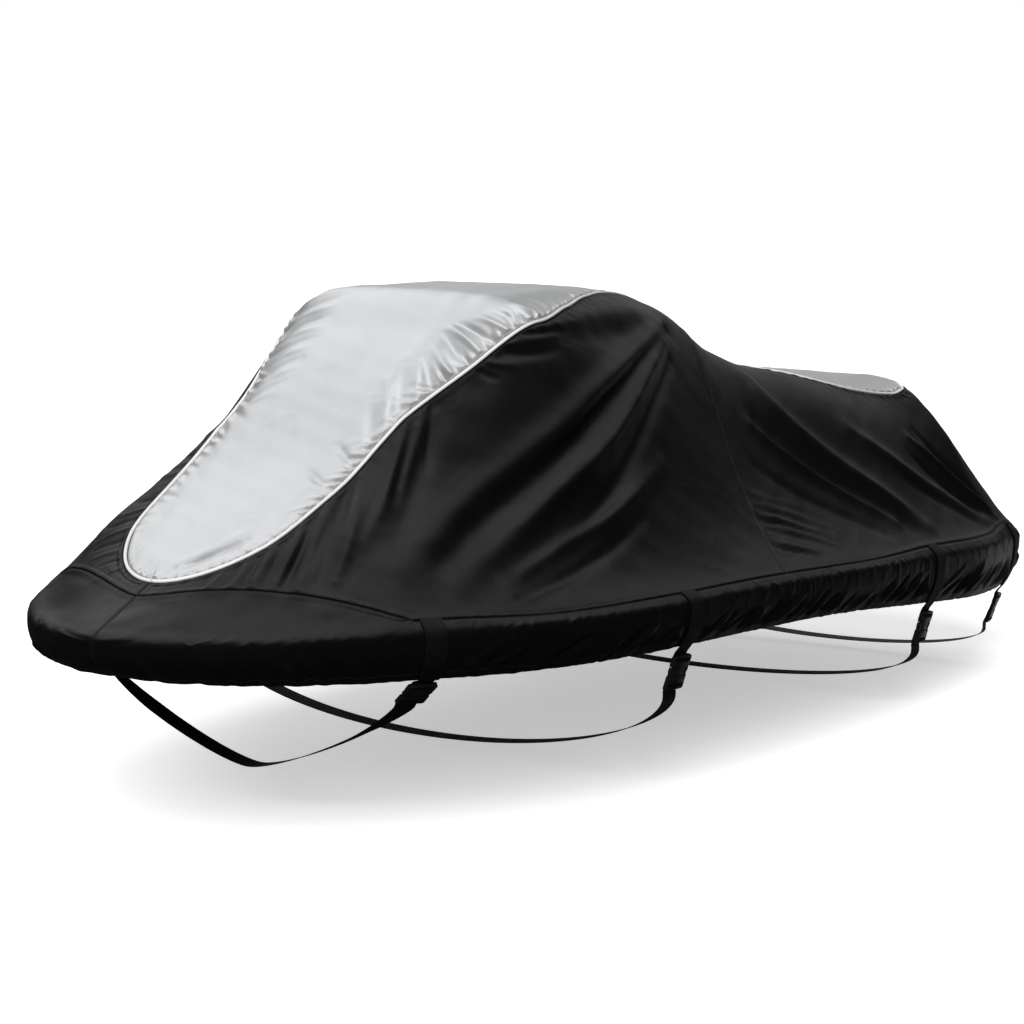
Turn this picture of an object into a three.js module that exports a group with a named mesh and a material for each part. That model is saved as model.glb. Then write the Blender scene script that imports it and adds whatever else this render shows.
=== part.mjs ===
// Fitted cover for a personal watercraft, in the shape in which it hangs over its craft.
// The craft is left out, so the cover is hollow. Millimetres, +Z up, the bow points to -X
// and port is -Y. Shapes are worked out from the bow tip aft and from the rail's level,
// and the finished group is moved so that the origin lies under the hump's top.
// "Half" sizes are measured out from the middle line, the same on both sides.

import * as THREE from 'three';

// Cloth, gaps and trim
const LENGTH = 2830;
const CLOTH = 2;
const SEAM_GAP = 0.6;
const HALF_GAP = SEAM_GAP / 2;
const PIPING_RADIUS = 3.5;
const PIPING_SIDES = 6;
const PIPING_SEAT = PIPING_RADIUS + 0.5;
const STRAP_WIDTH = 45;
const STRAP_THICKNESS = 1.6;

// Rail, over which the cloth turns down: half width and height along the craft
const BOW_LENGTH = 810;
const BOW_FULLNESS = 1.87;
const CORNER = 70;
const RAIL = [
  { x: 0, half: 520, z: 20 },
  { x: 400, half: 545, z: 16 },
  { x: 1100, half: 612, z: -3 },
  { x: 1700, half: 618, z: -27 },
  { x: 2300, half: 580, z: -62 },
  { x: 2830, half: 452, z: -102 },
];

// Height of the middle line over the craft
const CREST = [
  { x: 0, z: 18 },
  { x: 120, z: 74 },
  { x: 300, z: 165 },
  { x: 500, z: 268 },
  { x: 700, z: 404 },
  { x: 850, z: 496 },
  { x: 1000, z: 571 },
  { x: 1200, z: 568 },
  { x: 1450, z: 550 },
  { x: 1650, z: 512 },
  { x: 1800, z: 420 },
  { x: 1950, z: 358 },
  { x: 2150, z: 323 },
  { x: 2400, z: 291 },
  { x: 2600, z: 278 },
  { x: 2655, z: 219 },
  { x: 2720, z: 132 },
  { x: 2830, z: -52 },
];

// Cross section: where the flank starts, as a share of the half width, and how sharply
const FLANK = [
  { x: 0, shoulder: 0.73, sharp: 2.8 },
  { x: 350, shoulder: 0.88, sharp: 4.4 },
  { x: 700, shoulder: 0.63, sharp: 4.6 },
  { x: 1000, shoulder: 0.67, sharp: 6.4 },
  { x: 1350, shoulder: 0.65, sharp: 4.6 },
  { x: 1700, shoulder: 0.6, sharp: 3.8 },
  { x: 2100, shoulder: 0.77, sharp: 5.6 },
  { x: 2500, shoulder: 0.74, sharp: 5.4 },
  { x: 2830, shoulder: 1.13, sharp: 5.5 },
];

// Skirt that hangs from the rail: its depth, and how far the elastic draws the hem in
const ROLL = 24;
const ROLL_PITCH = 1.8;
const SKIRT = [
  { x: 0, depth: 78, tuck: 60 },
  { x: 200, depth: 86, tuck: 38 },
  { x: 600, depth: 93, tuck: 30 },
  { x: 1500, depth: 88, tuck: 26 },
  { x: 2400, depth: 114, tuck: 26 },
  { x: 2830, depth: 118, tuck: 34 },
];

// Silver top panel: half width along the craft, with an oval nose and a flat oval tail
const SILVER_NOSE = { x: 168, length: 360 };
const SILVER_TAIL = { x: 2580, length: 60 };
const SILVER = [
  { x: 300, half: 204 },
  { x: 450, half: 188 },
  { x: 650, half: 196 },
  { x: 850, half: 247 },
  { x: 1000, half: 280 },
  { x: 1150, half: 247 },
  { x: 1300, half: 193 },
  { x: 1500, half: 130 },
  { x: 1700, half: 92 },
  { x: 1900, half: 88 },
  { x: 2000, half: 140 },
  { x: 2080, half: 215 },
  { x: 2160, half: 252 },
  { x: 2300, half: 268 },
  { x: 2500, half: 262 },
  { x: 2640, half: 238 },
];

// Seams that run out from the middle line to the band
const APRON_SEAM = { x: 125, lag: 1.4, crowd: 1.9 };
const MIDDLE_SEAM = { x: 1874, foot: 1435, lag: 0.8 };
const STERN_SEAM = { turn: 35, slack: 0.45 };

// Cells of the cloth between the seams
const CELLS = {
  nose: 9, apron: 10, fore: 12, waist: 8, saddle: 8, seat: 9, corner: 2, stern: 6,
  flank: 12, silver: 10, apronTop: 5, sternSlope: 5, roll: 3, skirt: 3,
};

// Soft folds: the places they run through, as x and height, the half width of the fold
// and how far it stands out of the cloth, or lies below it. Port is -1 and starboard 1.
// A fold with a fan is narrower where it starts, by that share, and a long one has a path.
const FOLDS = [
  {
    side: -1, width: 46, rise: 16, fan: 0.5,
    path: [[1610, 480], [1300, 424], [1035, 367], [843, 271], [640, 190], [440, 112]],
  },
  {
    side: -1, width: 30, rise: -12, fan: 0.5,
    path: [[1550, 460], [1330, 420], [1107, 362], [955, 300], [755, 210], [530, 116]],
  },
  {
    side: -1, width: 36, rise: 16, fan: 0.5,
    path: [[1490, 442], [1300, 383], [1110, 305], [914, 229], [735, 143], [530, 80]],
  },
  {
    side: -1, width: 28, rise: -10, fan: 0.4,
    path: [[1480, 405], [1320, 342], [1160, 262], [1000, 184], [860, 118], [670, 60]],
  },
  {
    side: -1, width: 25, rise: 10, fan: 0.2,
    path: [[1240, 225], [1065, 176], [914, 136], [778, 96], [640, 64]],
  },
  { side: -1, from: [734, 369], via: [601, 253], to: [473, 161], width: 24, rise: -6 },
  { side: -1, from: [659, 344], via: [502, 226], to: [379, 148], width: 24, rise: 7 },
  { side: -1, from: [555, 281], via: [346, 160], to: [250, 100], width: 22, rise: -6 },
  { side: -1, from: [1850, 335], via: [1920, 190], to: [2170, 0], width: 34, rise: 14, fan: 0.3 },
  { side: -1, from: [1790, 262], via: [1890, 150], to: [2050, 18], width: 22, rise: -9 },
  { side: -1, from: [1745, 252], via: [1870, 132], to: [2040, 20], width: 20, rise: 9 },
  { side: -1, from: [2080, 212], via: [2290, 80], to: [2570, -45], width: 32, rise: 9 },
  { side: -1, from: [2400, 156], via: [2490, 78], to: [2680, -58], width: 20, rise: 10 },
  { side: -1, from: [1533, 100], via: [1650, 60], to: [1775, 24], width: 18, rise: 7 },
  { side: -1, from: [1505, 56], via: [1580, 28], to: [1660, 10], width: 16, rise: 6 },
  { side: 1, from: [1600, 470], via: [1040, 350], to: [700, 205], width: 40, rise: 14 },
  { side: 1, from: [1280, 380], via: [960, 270], to: [620, 150], width: 26, rise: -12 },
  { side: 1, from: [1450, 420], via: [1050, 265], to: [530, 90], width: 36, rise: 14 },
  { side: 1, from: [1140, 215], via: [900, 125], to: [660, 48], width: 32, rise: 8 },
  { side: 1, from: [700, 350], via: [560, 240], to: [430, 150], width: 24, rise: -6 },
  { side: 1, from: [600, 310], via: [430, 190], to: [320, 120], width: 22, rise: 6 },
  { side: 1, from: [1880, 310], via: [1985, 180], to: [2200, 50], width: 34, rise: 13 },
  { side: 1, from: [1830, 255], via: [1925, 140], to: [2120, 20], width: 22, rise: -8 },
  { side: 1, from: [1750, 235], via: [1900, 120], to: [2080, 5], width: 24, rise: 10 },
  { side: 1, from: [2120, 215], via: [2310, 95], to: [2600, -30], width: 32, rise: 10 },
  { side: 1, from: [2430, 150], via: [2500, 60], to: [2690, -50], width: 24, rise: 10 },
  { side: 1, from: [1530, 90], via: [1640, 55], to: [1760, 20], width: 18, rise: 6 },
];
const FOLD_STEPS = 10;
const FOLD_FADE = 45;
const FOLD_TAPER = 0.4;
const FOLD_TIP = 0.04;

// Straps that pass under the craft: where the band is joined beside each, where it hangs
// along the rail, how far it lies off the band, how steeply its buckle hangs, the strap's
// lowest level and the lengths of its curve
const STRAPS = [
  { name: 'fore', joint: 372, at: 405, lift: 0.8, drop: 36, keel: -292, lead: 120, flat: 60 },
  { name: 'waist', joint: 1022, at: 1056, lift: 0.5, drop: 72, keel: -338, lead: 70, flat: 300 },
  { name: 'seat', joint: 2059, at: 2108, lift: 0.5, drop: 76, keel: -354, lead: 60, flat: 260 },
  { name: 'tail', joint: 2760, at: 2725, lift: 0.9, drop: 70, keel: -378, lead: 30, flat: 240 },
];
const STRAP_STEPS = 9;
const STRAP_SETTLE = 0.3;

// Side release buckle, sized for its strap
const BUCKLE = {
  width: 58, length: 72, thickness: 9, bar: 5, slot: 6.5, mouth: 42,
  tongue: 30, channel: 22, play: 0.4, hang: 22, room: 1.5,
};

const COLOURS = {
  silver: { color: 0xb9bcc2, roughness: 0.42, metalness: 0.25 },
  black: { color: 0x151517, roughness: 0.5, metalness: 0 },
  piping: { color: 0xf2f2f2, roughness: 0.45, metalness: 0 },
  webbing: { color: 0x101011, roughness: 0.8, metalness: 0 },
  plastic: { color: 0x0c0c0d, roughness: 0.35, metalness: 0 },
};

// Small helpers
const PORT = -1;
const STARBOARD = 1;
const STEP = 0.5;
const HALVINGS = 24;
const clamp = THREE.MathUtils.clamp;
const lerp = THREE.MathUtils.lerp;
const radians = THREE.MathUtils.degToRad;
const mix = (a, b, t) => a.map((value, i) => lerp(value, b[i], t));
const range = (count) => Array.from({ length: count + 1 }, (_, i) => i / count);

// Smooth curve through a table's rows that never overshoots them
function through(rows, column) {
  const x = rows.map((row) => row.x);
  const y = rows.map((row) => row[column]);
  const slope = x.slice(1).map((value, i) => (y[i + 1] - y[i]) / (value - x[i]));
  const tangent = y.map((_, i) => {
    if (i === 0) return slope[0];
    if (i === slope.length) return slope[i - 1];
    const product = slope[i - 1] * slope[i];
    return product > 0 ? (2 * product) / (slope[i - 1] + slope[i]) : 0;
  });
  return (place) => {
    const at = clamp(place, x[0], x[x.length - 1]);
    let i = 0;
    while (i < slope.length - 1 && at > x[i + 1]) i += 1;
    const span = x[i + 1] - x[i];
    const t = (at - x[i]) / span;
    const rise = y[i] * (1 + 2 * t) * (1 - t) ** 2 + y[i + 1] * t * t * (3 - 2 * t);
    return rise + span * t * (1 - t) * (tangent[i] * (1 - t) - tangent[i + 1] * t);
  };
}

const railHalf = through(RAIL, 'half');
const railHeight = through(RAIL, 'z');
const crestHeight = through(CREST, 'z');
const shoulder = through(FLANK, 'shoulder');
const sharpness = through(FLANK, 'sharp');
const skirtDepth = through(SKIRT, 'depth');
const skirtTuck = through(SKIRT, 'tuck');
const silverHalf = through(SILVER, 'half');

// Half width of the outline, oval at the bow
function halfWidth(x) {
  const run = clamp(1 - x / BOW_LENGTH, 0, 1);
  return railHalf(x) * (1 - run ** BOW_FULLNESS) ** (1 / BOW_FULLNESS);
}

// Height of the taut cloth, without its folds
function tautHeight(x, y) {
  const share = clamp(Math.abs(y) / Math.max(halfWidth(x), 0.001), 0, 1);
  const fall = (q) => 1 / (1 + (q / shoulder(x)) ** sharpness(x));
  const foot = fall(1);
  const low = railHeight(x);
  return low + ((crestHeight(x) - low) * (fall(share) - foot)) / (1 - foot);
}

// Point on the taut cloth at a given height on one side
function flankPoint(x, height, side) {
  let inner = 0;
  let outer = halfWidth(x);
  for (let i = 0; i < HALVINGS; i += 1) {
    const middle = (inner + outer) / 2;
    if (tautHeight(x, middle) > height) inner = middle;
    else outer = middle;
  }
  return new THREE.Vector3(x, side * inner, tautHeight(x, inner));
}

function tautPoint(x, y) {
  return new THREE.Vector3(x, y, tautHeight(x, y));
}

// Upward normal of any surface that is given as a function of a place in plan
function normalOf(surface, x, y) {
  const along = surface(x + STEP, y).sub(surface(x - STEP, y));
  const across = surface(x, y + STEP).sub(surface(x, y - STEP));
  return along.cross(across).normalize();
}

// Places along a fold, as x and height: a plain curve, or one through its path
function foldPlaces({ from, via, to, path }) {
  if (path) {
    const knots = path.map(([x, height]) => new THREE.Vector2(x, height));
    return new THREE.SplineCurve(knots).getPoints(FOLD_STEPS);
  }
  const middle = mix(from, to, 0.5);
  return range(FOLD_STEPS).map((t) => {
    const bulge = 4 * t * (1 - t);
    const [x, height] = mix(from, to, t).map((end, i) => end + bulge * (via[i] - middle[i]));
    return new THREE.Vector2(x, height);
  });
}

// Each fold is a short chain of points on the taut cloth
const foldLines = FOLDS.map((fold) => {
  const line = foldPlaces(fold).map((place) => flankPoint(place.x, place.y, fold.side));
  return { ...fold, line };
});

// How far the folds lift the cloth at a point, fading towards each fold's ends
function foldLift(point) {
  let lift = 0;
  foldLines.forEach(({ side, line, width, rise, fan = 0 }) => {
    if (side * point.y < 0) return;
    let nearest = Infinity;
    let place = 0;
    for (let i = 0; i < FOLD_STEPS; i += 1) {
      const segment = new THREE.Line3(line[i], line[i + 1]);
      const t = segment.closestPointToPointParameter(point, true);
      const distance = segment.at(t, new THREE.Vector3()).distanceTo(point);
      if (distance < nearest) {
        nearest = distance;
        place = (i + t) / FOLD_STEPS;
      }
    }
    const strength = Math.sin(Math.PI * clamp(place, FOLD_TIP, 1 - FOLD_TIP)) ** FOLD_TAPER;
    const wide = width * (1 - fan * (1 - place));
    lift += rise * strength * Math.exp(-((nearest / wide) ** 2));
  });
  return lift;
}

// Outer face of the cloth, with folds that die out towards the rail
function clothPoint(x, y) {
  const point = tautPoint(x, y);
  const edge = Math.min(halfWidth(x) - Math.abs(y), LENGTH - x) - ROLL;
  const fade = THREE.MathUtils.smoothstep(edge, 0, FOLD_FADE);
  if (fade === 0) return point;
  return point.addScaledVector(normalOf(tautPoint, x, y), fade * foldLift(point));
}

// The rail in plan as [x, half], by distance aft, then round the corner and inboard
const CORNER_START = LENGTH - CORNER;
const CORNER_END = CORNER_START + 2 * CORNER;
const STERN_END = CORNER_END + halfWidth(LENGTH) - CORNER;
function railPoint(s) {
  if (s < 0) return [-s, -halfWidth(-s)];
  if (s <= CORNER_START) return [s, halfWidth(s)];
  const half = halfWidth(LENGTH);
  if (s >= CORNER_END) return [LENGTH, half - CORNER - (s - CORNER_END)];
  const t = (s - CORNER_START) / (2 * CORNER);
  const start = [CORNER_START, halfWidth(CORNER_START)];
  const corner = [LENGTH, half];
  const end = [LENGTH, half - CORNER];
  return mix(mix(start, corner, t), mix(corner, end, t), t);
}

// Plan direction along the rail, and the one that points away from the craft
function railFrame(s) {
  const here = railPoint(s);
  const before = railPoint(s - STEP);
  const after = railPoint(s + STEP);
  const run = Math.hypot(after[0] - before[0], after[1] - before[1]);
  const tangent = [(after[0] - before[0]) / run, (after[1] - before[1]) / run];
  return { here, tangent, out: [-tangent[1], tangent[0]], speed: run / (2 * STEP) };
}

// Seam between the top cloth and the band, inboard of the rail, in plan
function bandSeam(s, inset = ROLL) {
  const { here, out } = railFrame(s);
  return [here[0] - inset * out[0], here[1] - inset * out[1]];
}

// Band: v runs 0 to 1 over the rail and 1 to 2 down the skirt to its hem
function bandPoint(side, s, v) {
  const { here, out } = railFrame(s);
  const start = bandSeam(s);
  const inner = tautHeight(start[0] - out[0], start[1] - out[1]);
  const outer = tautHeight(start[0] + out[0], start[1] + out[1]);
  const slope = clamp((outer - inner) / 2, -ROLL_PITCH, 0);
  const top = tautHeight(start[0], start[1]);
  const rail = top + slope * ROLL;
  let reach;
  let z;
  if (v <= 1) {
    reach = -ROLL * (1 - v) ** 2 - v * v;
    z = lerp(lerp(top, rail, v), lerp(rail, rail - ROLL, v), v);
  } else {
    const f = v - 1;
    reach = -1 - skirtTuck(here[0]) * f * f;
    z = rail - lerp(ROLL, skirtDepth(here[0]), f);
  }
  return new THREE.Vector3(here[0] + reach * out[0], side * (here[1] + reach * out[1]), z);
}

// Outward normal of the band
function bandNormal(side, s, v) {
  const low = Math.max(v - 0.02, 0);
  const high = Math.min(v + 0.02, 2);
  const down = bandPoint(side, s, high).sub(bandPoint(side, s, low));
  const along = bandPoint(side, s + STEP, v).sub(bandPoint(side, s - STEP, v));
  return down.cross(along).multiplyScalar(side === PORT ? 1 : -1).normalize();
}

// Closed mesh from corner lists, with points that coincide joined and empty faces left out
function closedMesh(faces) {
  const corners = [];
  const known = new Map();
  const indices = [];
  const indexOf = (point) => {
    const key = point.toArray().map((value) => value.toFixed(3)).join();
    if (!known.has(key)) {
      known.set(key, corners.length);
      corners.push(point);
    }
    return known.get(key);
  };
  faces.forEach((face) => {
    const ring = face.map(indexOf).filter((value, i, all) => value !== all[(i + 1) % all.length]);
    for (let i = 1; i < ring.length - 1; i += 1) indices.push(ring[0], ring[i], ring[i + 1]);
  });
  let volume = 0;
  for (let i = 0; i < indices.length; i += 3) {
    const [a, b, c] = indices.slice(i, i + 3).map((index) => corners[index]);
    volume += a.dot(new THREE.Vector3().crossVectors(b, c));
  }
  if (volume < 0) indices.reverse();
  const geometry = new THREE.BufferGeometry();
  const positions = new Float32Array(corners.flatMap((point) => point.toArray()));
  geometry.setAttribute('position', new THREE.BufferAttribute(positions, 3));
  geometry.setIndex(indices);
  return geometry;
}

// Solid cloth from a grid of { point, normal }, with its outer face on the points
function shell(grid, thickness) {
  const outer = grid.map((row) => row.map(({ point }) => point));
  const inner = grid.map((row) => row.map(({ point, normal }) => (
    point.clone().addScaledVector(normal, -thickness))));
  const faces = [];
  const rows = grid.length - 1;
  const columns = grid[0].length - 1;
  for (let i = 0; i < rows; i += 1) {
    for (let j = 0; j < columns; j += 1) {
      const cell = [[i, j], [i + 1, j], [i + 1, j + 1], [i, j + 1]];
      const spans = [0, 1].map((k) => {
        const [a, b] = [cell[k], cell[k + 2]];
        return outer[a[0]][a[1]].distanceTo(outer[b[0]][b[1]]);
      });
      const first = spans[0] <= spans[1] ? 0 : 1;
      const turn = [0, 1, 2, 3].map((k) => cell[(k + first) % 4]);
      const halves = [[turn[0], turn[1], turn[2]], [turn[0], turn[2], turn[3]]];
      halves.forEach((half) => {
        faces.push(half.map(([a, b]) => outer[a][b]));
        faces.push([...half].reverse().map(([a, b]) => inner[a][b]));
      });
    }
  }
  const wall = (a, b) => faces.push([
    outer[b[0]][b[1]], outer[a[0]][a[1]], inner[a[0]][a[1]], inner[b[0]][b[1]]]);
  for (let i = 0; i < rows; i += 1) {
    wall([i, 0], [i + 1, 0]);
    wall([i + 1, columns], [i, columns]);
  }
  for (let j = 0; j < columns; j += 1) {
    wall([rows, j], [rows, j + 1]);
    wall([0, j + 1], [0, j]);
  }
  return closedMesh(faces);
}

// Points of a line in plan, spread evenly over the cloth that it lies on
const FINE = 40;
function spreadEvenly(line, cells) {
  const fine = range(FINE).map((t) => ({ t, point: clothPoint(...line(t)) }));
  const run = [0];
  fine.slice(1).forEach(({ point }, i) => run.push(run[i] + point.distanceTo(fine[i].point)));
  return range(cells).map((share) => {
    const target = share * run[FINE];
    let i = 0;
    while (i < FINE - 1 && run[i + 1] < target) i += 1;
    const span = run[i + 1] - run[i];
    const t = span > 0 ? (i + (target - run[i]) / span) / FINE : share;
    return line(t);
  });
}

const onCloth = ([x, y]) => ({ point: clothPoint(x, y), normal: normalOf(clothPoint, x, y) });

// Grid of cloth between two seams given as lists and two given as functions, in plan
function clothGrid(inner, outer, start, end, cells, side) {
  const last = inner.length - 1;
  return inner.map((from, i) => {
    const to = outer[i];
    const share = i / last;
    const line = (t) => {
      const straight = mix(from, to, t);
      const first = start(t).map((value, k) => value - mix(start(0), start(1), t)[k]);
      const final = end(t).map((value, k) => value - mix(end(0), end(1), t)[k]);
      const bend = mix(first, final, share);
      return [straight[0] + bend[0], side * (straight[1] + bend[1])];
    };
    return spreadEvenly(line, cells).map(onCloth);
  });
}

// Edge of the silver panel in plan, as places counted from the nose tip to the tail tip
const silverPlaces = [];
range(CELLS.nose).forEach((t) => silverPlaces.push({ nose: t * 90 }));
const noseEnd = SILVER_NOSE.x + SILVER_NOSE.length;

function silverEdge(place) {
  if ('nose' in place) {
    const turn = radians(place.nose);
    const x = SILVER_NOSE.x + SILVER_NOSE.length * (1 - Math.cos(turn));
    return [x, silverHalf(x) * Math.sin(turn)];
  }
  if ('tail' in place) {
    const turn = radians(place.tail);
    const x = SILVER_TAIL.x + SILVER_TAIL.length * Math.sin(turn);
    return [x, silverHalf(x) * Math.cos(turn)];
  }
  return [place.x, silverHalf(place.x)];
}

// Middle seam: from the middle line out and forward to the band
const middleFoot = bandSeam(MIDDLE_SEAM.foot);
const middleSeam = (t) => [
  lerp(MIDDLE_SEAM.x, middleFoot[0], t ** MIDDLE_SEAM.lag), t * middleFoot[1]];
const SEAM_SEARCH = 0.0005;
let seamShare = 0;
while (middleSeam(seamShare)[1] < silverHalf(middleSeam(seamShare)[0])) seamShare += SEAM_SEARCH;
const middleTop = middleSeam(seamShare)[0];

const forwardCells = CELLS.apron + CELLS.fore + CELLS.waist;
const rearCells = CELLS.saddle + CELLS.seat;
const straightCells = forwardCells - CELLS.nose;
range(straightCells).slice(1).forEach((t) => silverPlaces.push({ x: lerp(noseEnd, middleTop, t) }));
range(rearCells).slice(1).forEach((t) => (
  silverPlaces.push({ x: lerp(middleTop, SILVER_TAIL.x, t) })));
range(CELLS.corner).slice(1).forEach((t) => silverPlaces.push({ tail: t * STERN_SEAM.turn }));
const sternCells = CELLS.corner + CELLS.stern;
range(sternCells).slice(1).forEach((t) => (
  silverPlaces.push({ tail: lerp(STERN_SEAM.turn, 90, t) })));
const middleIndex = forwardCells;
const sternIndex = middleIndex + rearCells + CELLS.corner;
const tailIndex = silverPlaces.length - 1;

// The same edge moved along the cloth, outwards or inwards, in plan
function silverLine(offset) {
  const edge = silverPlaces.map(silverEdge);
  return edge.map((here, i) => {
    let out = [0, 0];
    if (i === 0) out = [-1, 0];
    else if (i === tailIndex) out = [1, 0];
    else {
      const before = edge[i - 1];
      const after = edge[i + 1];
      const run = Math.hypot(after[0] - before[0], after[1] - before[1]);
      out = [-(after[1] - before[1]) / run, (after[0] - before[0]) / run];
    }
    const level = tautHeight(here[0], here[1]);
    const climb = tautHeight(here[0] + out[0], here[1] + out[1]) - level;
    const pitch = tautHeight(here[0] + out[1], here[1] - out[0]) - level;
    const shift = (offset * Math.hypot(1, pitch)) / Math.hypot(1, climb, pitch);
    return [here[0] + shift * out[0], here[1] + shift * out[1]];
  });
}

// Group that holds every piece, each as one named mesh
const cover = new THREE.Group();
function add(name, geometry, look) {
  const mesh = new THREE.Mesh(geometry, new THREE.MeshStandardMaterial(COLOURS[look]));
  mesh.name = name;
  cover.add(mesh);
  return mesh;
}

const SIDES = [
  { side: PORT, label: 'port' },
  { side: STARBOARD, label: 'starboard' },
];

// Silver top panel, from its nose at the bow over the hump to its tail behind the seat
function silverPanel() {
  const rows = silverLine(-PIPING_SEAT).map(([x, half]) => (
    spreadEvenly((t) => [x, lerp(-half, half, t)], CELLS.silver).map(onCloth)));
  return shell(rows, CLOTH);
}
add('silver_top_panel', silverPanel(), 'silver');

// Piping bead between the silver panel and the black ones, half sunk in the seam
function piping(side) {
  const edge = silverLine(0).map(([x, half]) => [x, side * Math.max(half, HALF_GAP)]);
  const centres = edge.map(([x, y]) => clothPoint(x, y));
  const rings = centres.map((centre, i) => {
    const before = centres[Math.max(i - 1, 0)];
    const after = centres[Math.min(i + 1, tailIndex)];
    const atTip = i === 0 || i === tailIndex;
    const tangent = atTip ? new THREE.Vector3(0, 1, 0) : after.clone().sub(before).normalize();
    const up = normalOf(clothPoint, ...edge[i]);
    const across = new THREE.Vector3().crossVectors(tangent, up).normalize();
    if (atTip) across.set(Math.sign(i - 0.5), 0, 0);
    const rise = new THREE.Vector3().crossVectors(across, tangent).normalize();
    if (rise.z < 0) rise.negate();
    if (across.y * side < 0 && !atTip) across.negate();
    return range(PIPING_SIDES).slice(0, -1).map((turn) => {
      const angle = 2 * Math.PI * turn;
      return centre.clone()
        .addScaledVector(across, PIPING_RADIUS * Math.cos(angle))
        .addScaledVector(rise, PIPING_RADIUS * Math.sin(angle));
    });
  });
  return tube(rings);
}

// Closed solid through rings with the same number of corners
function tube(rings) {
  const count = rings[0].length;
  const faces = [[...rings[0]].reverse(), rings[rings.length - 1]];
  for (let i = 0; i < rings.length - 1; i += 1) {
    for (let j = 0; j < count; j += 1) {
      const k = (j + 1) % count;
      faces.push([rings[i][j], rings[i][k], rings[i + 1][k], rings[i + 1][j]]);
    }
  }
  return closedMesh(faces);
}

SIDES.forEach(({ side, label }) => add(`piping_${label}`, piping(side), 'piping'));

// Seam of the bow apron, from the middle line out and aft to the first strap
const [foreJoint, waistJoint, seatJoint, tailJoint] = STRAPS.map((strap) => strap.joint);
const apronFoot = bandSeam(foreJoint);
const apronSeam = (t) => [lerp(APRON_SEAM.x, apronFoot[0], t ** APRON_SEAM.lag), t * apronFoot[1]];

// A seam moved square to itself in plan: aft above zero, forward below it
function seamEdge(seam, t, offset) {
  const step = 0.01;
  const before = seam(Math.max(t - step, 0));
  const after = seam(t + step);
  const run = Math.hypot(after[0] - before[0], after[1] - before[1]);
  const shift = offset / run;
  const [x, out] = seam(t);
  return [x + shift * (after[1] - before[1]), Math.max(out - shift * (after[0] - before[0]), HALF_GAP)];
}

// Places along the rail that the panels and the bands share
const stretch = (from, to, cells) => range(cells).slice(1).map((t) => lerp(from, to, t));
const foreStations = stretch(foreJoint, waistJoint, CELLS.fore);
const waistStations = stretch(waistJoint, MIDDLE_SEAM.foot, CELLS.waist);
const saddleStations = stretch(MIDDLE_SEAM.foot, seatJoint, CELLS.saddle);
const seatStations = stretch(seatJoint, tailJoint, CELLS.seat);
const cornerMiddle = (CORNER_START + CORNER_END) / 2;
const cornerStations = stretch(CORNER_START, cornerMiddle, CELLS.corner);
const turnStations = stretch(cornerMiddle, CORNER_END, CELLS.corner);
const sternStations = stretch(CORNER_END, STERN_END, CELLS.stern);
const panelEdge = (stations) => stations.map((s) => bandSeam(s, ROLL + SEAM_GAP));

// Moves a corner of a panel back along its edge, clear of an oblique seam
function pullBack(line, corner, next, distance) {
  const [from, to] = [line[corner], line[next]];
  line[corner] = mix(from, to, distance / Math.hypot(to[0] - from[0], to[1] - from[1]));
}

// Middle seam edge that ends at two given places
function middleEdge(offset, top, foot) {
  const seam = (t) => seamEdge(middleSeam, lerp(seamShare, 1, t), offset);
  return (t) => {
    const place = seam(t);
    const ends = mix(seam(0), seam(1), t);
    return mix(top, foot, t).map((value, k) => value + place[k] - ends[k]);
  };
}

// Forward side panel: from the bow seam and the silver edge down to the apron and the band
function forwardPanel(side) {
  const inner = silverLine(PIPING_SEAT).slice(0, middleIndex + 1);
  inner[0][1] = HALF_GAP;
  const apron = range(CELLS.apron).map((t) => seamEdge(apronSeam, t, HALF_GAP));
  const outer = [...apron, ...panelEdge([...foreStations, ...waistStations])];
  [inner, outer].forEach((edge) => pullBack(edge, middleIndex, middleIndex - 1, HALF_GAP));
  const start = (t) => mix(inner[0], outer[0], t);
  const end = middleEdge(-HALF_GAP, inner[middleIndex], outer[middleIndex]);
  return shell(clothGrid(inner, outer, start, end, CELLS.flank, side), CLOTH);
}

// Rear side panel: from the middle seam to the stern seam
function rearPanel(side) {
  const inner = silverLine(PIPING_SEAT).slice(middleIndex, sternIndex + 1);
  const along = [MIDDLE_SEAM.foot, ...saddleStations, ...seatStations];
  const outer = panelEdge([...along, ...cornerStations]);
  const last = inner.length - 1;
  [inner, outer].forEach((edge) => {
    pullBack(edge, 0, 1, HALF_GAP);
    pullBack(edge, last, last - 1, STERN_SEAM.slack);
  });
  const start = middleEdge(HALF_GAP, inner[0], outer[0]);
  const end = (t) => mix(inner[last], outer[last], t);
  return shell(clothGrid(inner, outer, start, end, CELLS.flank, side), CLOTH);
}

// Bow apron: from its seam over the rail to the hem, with a seam on the middle line
function apronPanel(side) {
  const stations = range(CELLS.apron).map((t) => foreJoint * t ** APRON_SEAM.crowd);
  const grid = stations.map((s, i) => {
    const from = seamEdge(apronSeam, i / CELLS.apron, -HALF_GAP);
    const to = bandSeam(s);
    const line = (t) => mix(from, to, t).map((value, k) => (k === 1 ? side * value : value));
    const top = spreadEvenly(line, CELLS.apronTop).slice(0, -1).map(onCloth);
    return [...top, ...bandColumn(side, s)];
  });
  grid[0].forEach(({ point }) => point.setY(side * HALF_GAP));
  grid[grid.length - 1].forEach(({ point }) => point.setX(point.x - HALF_GAP));
  return shell(grid, CLOTH);
}

// One line of the band from its seam to its hem
const bandRows = [...range(CELLS.roll), ...range(CELLS.skirt).slice(1).map((t) => 1 + t)];
function bandColumn(side, s) {
  return bandRows.map((v) => (
    { point: bandPoint(side, s, v), normal: bandNormal(side, s, v) }));
}

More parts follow.
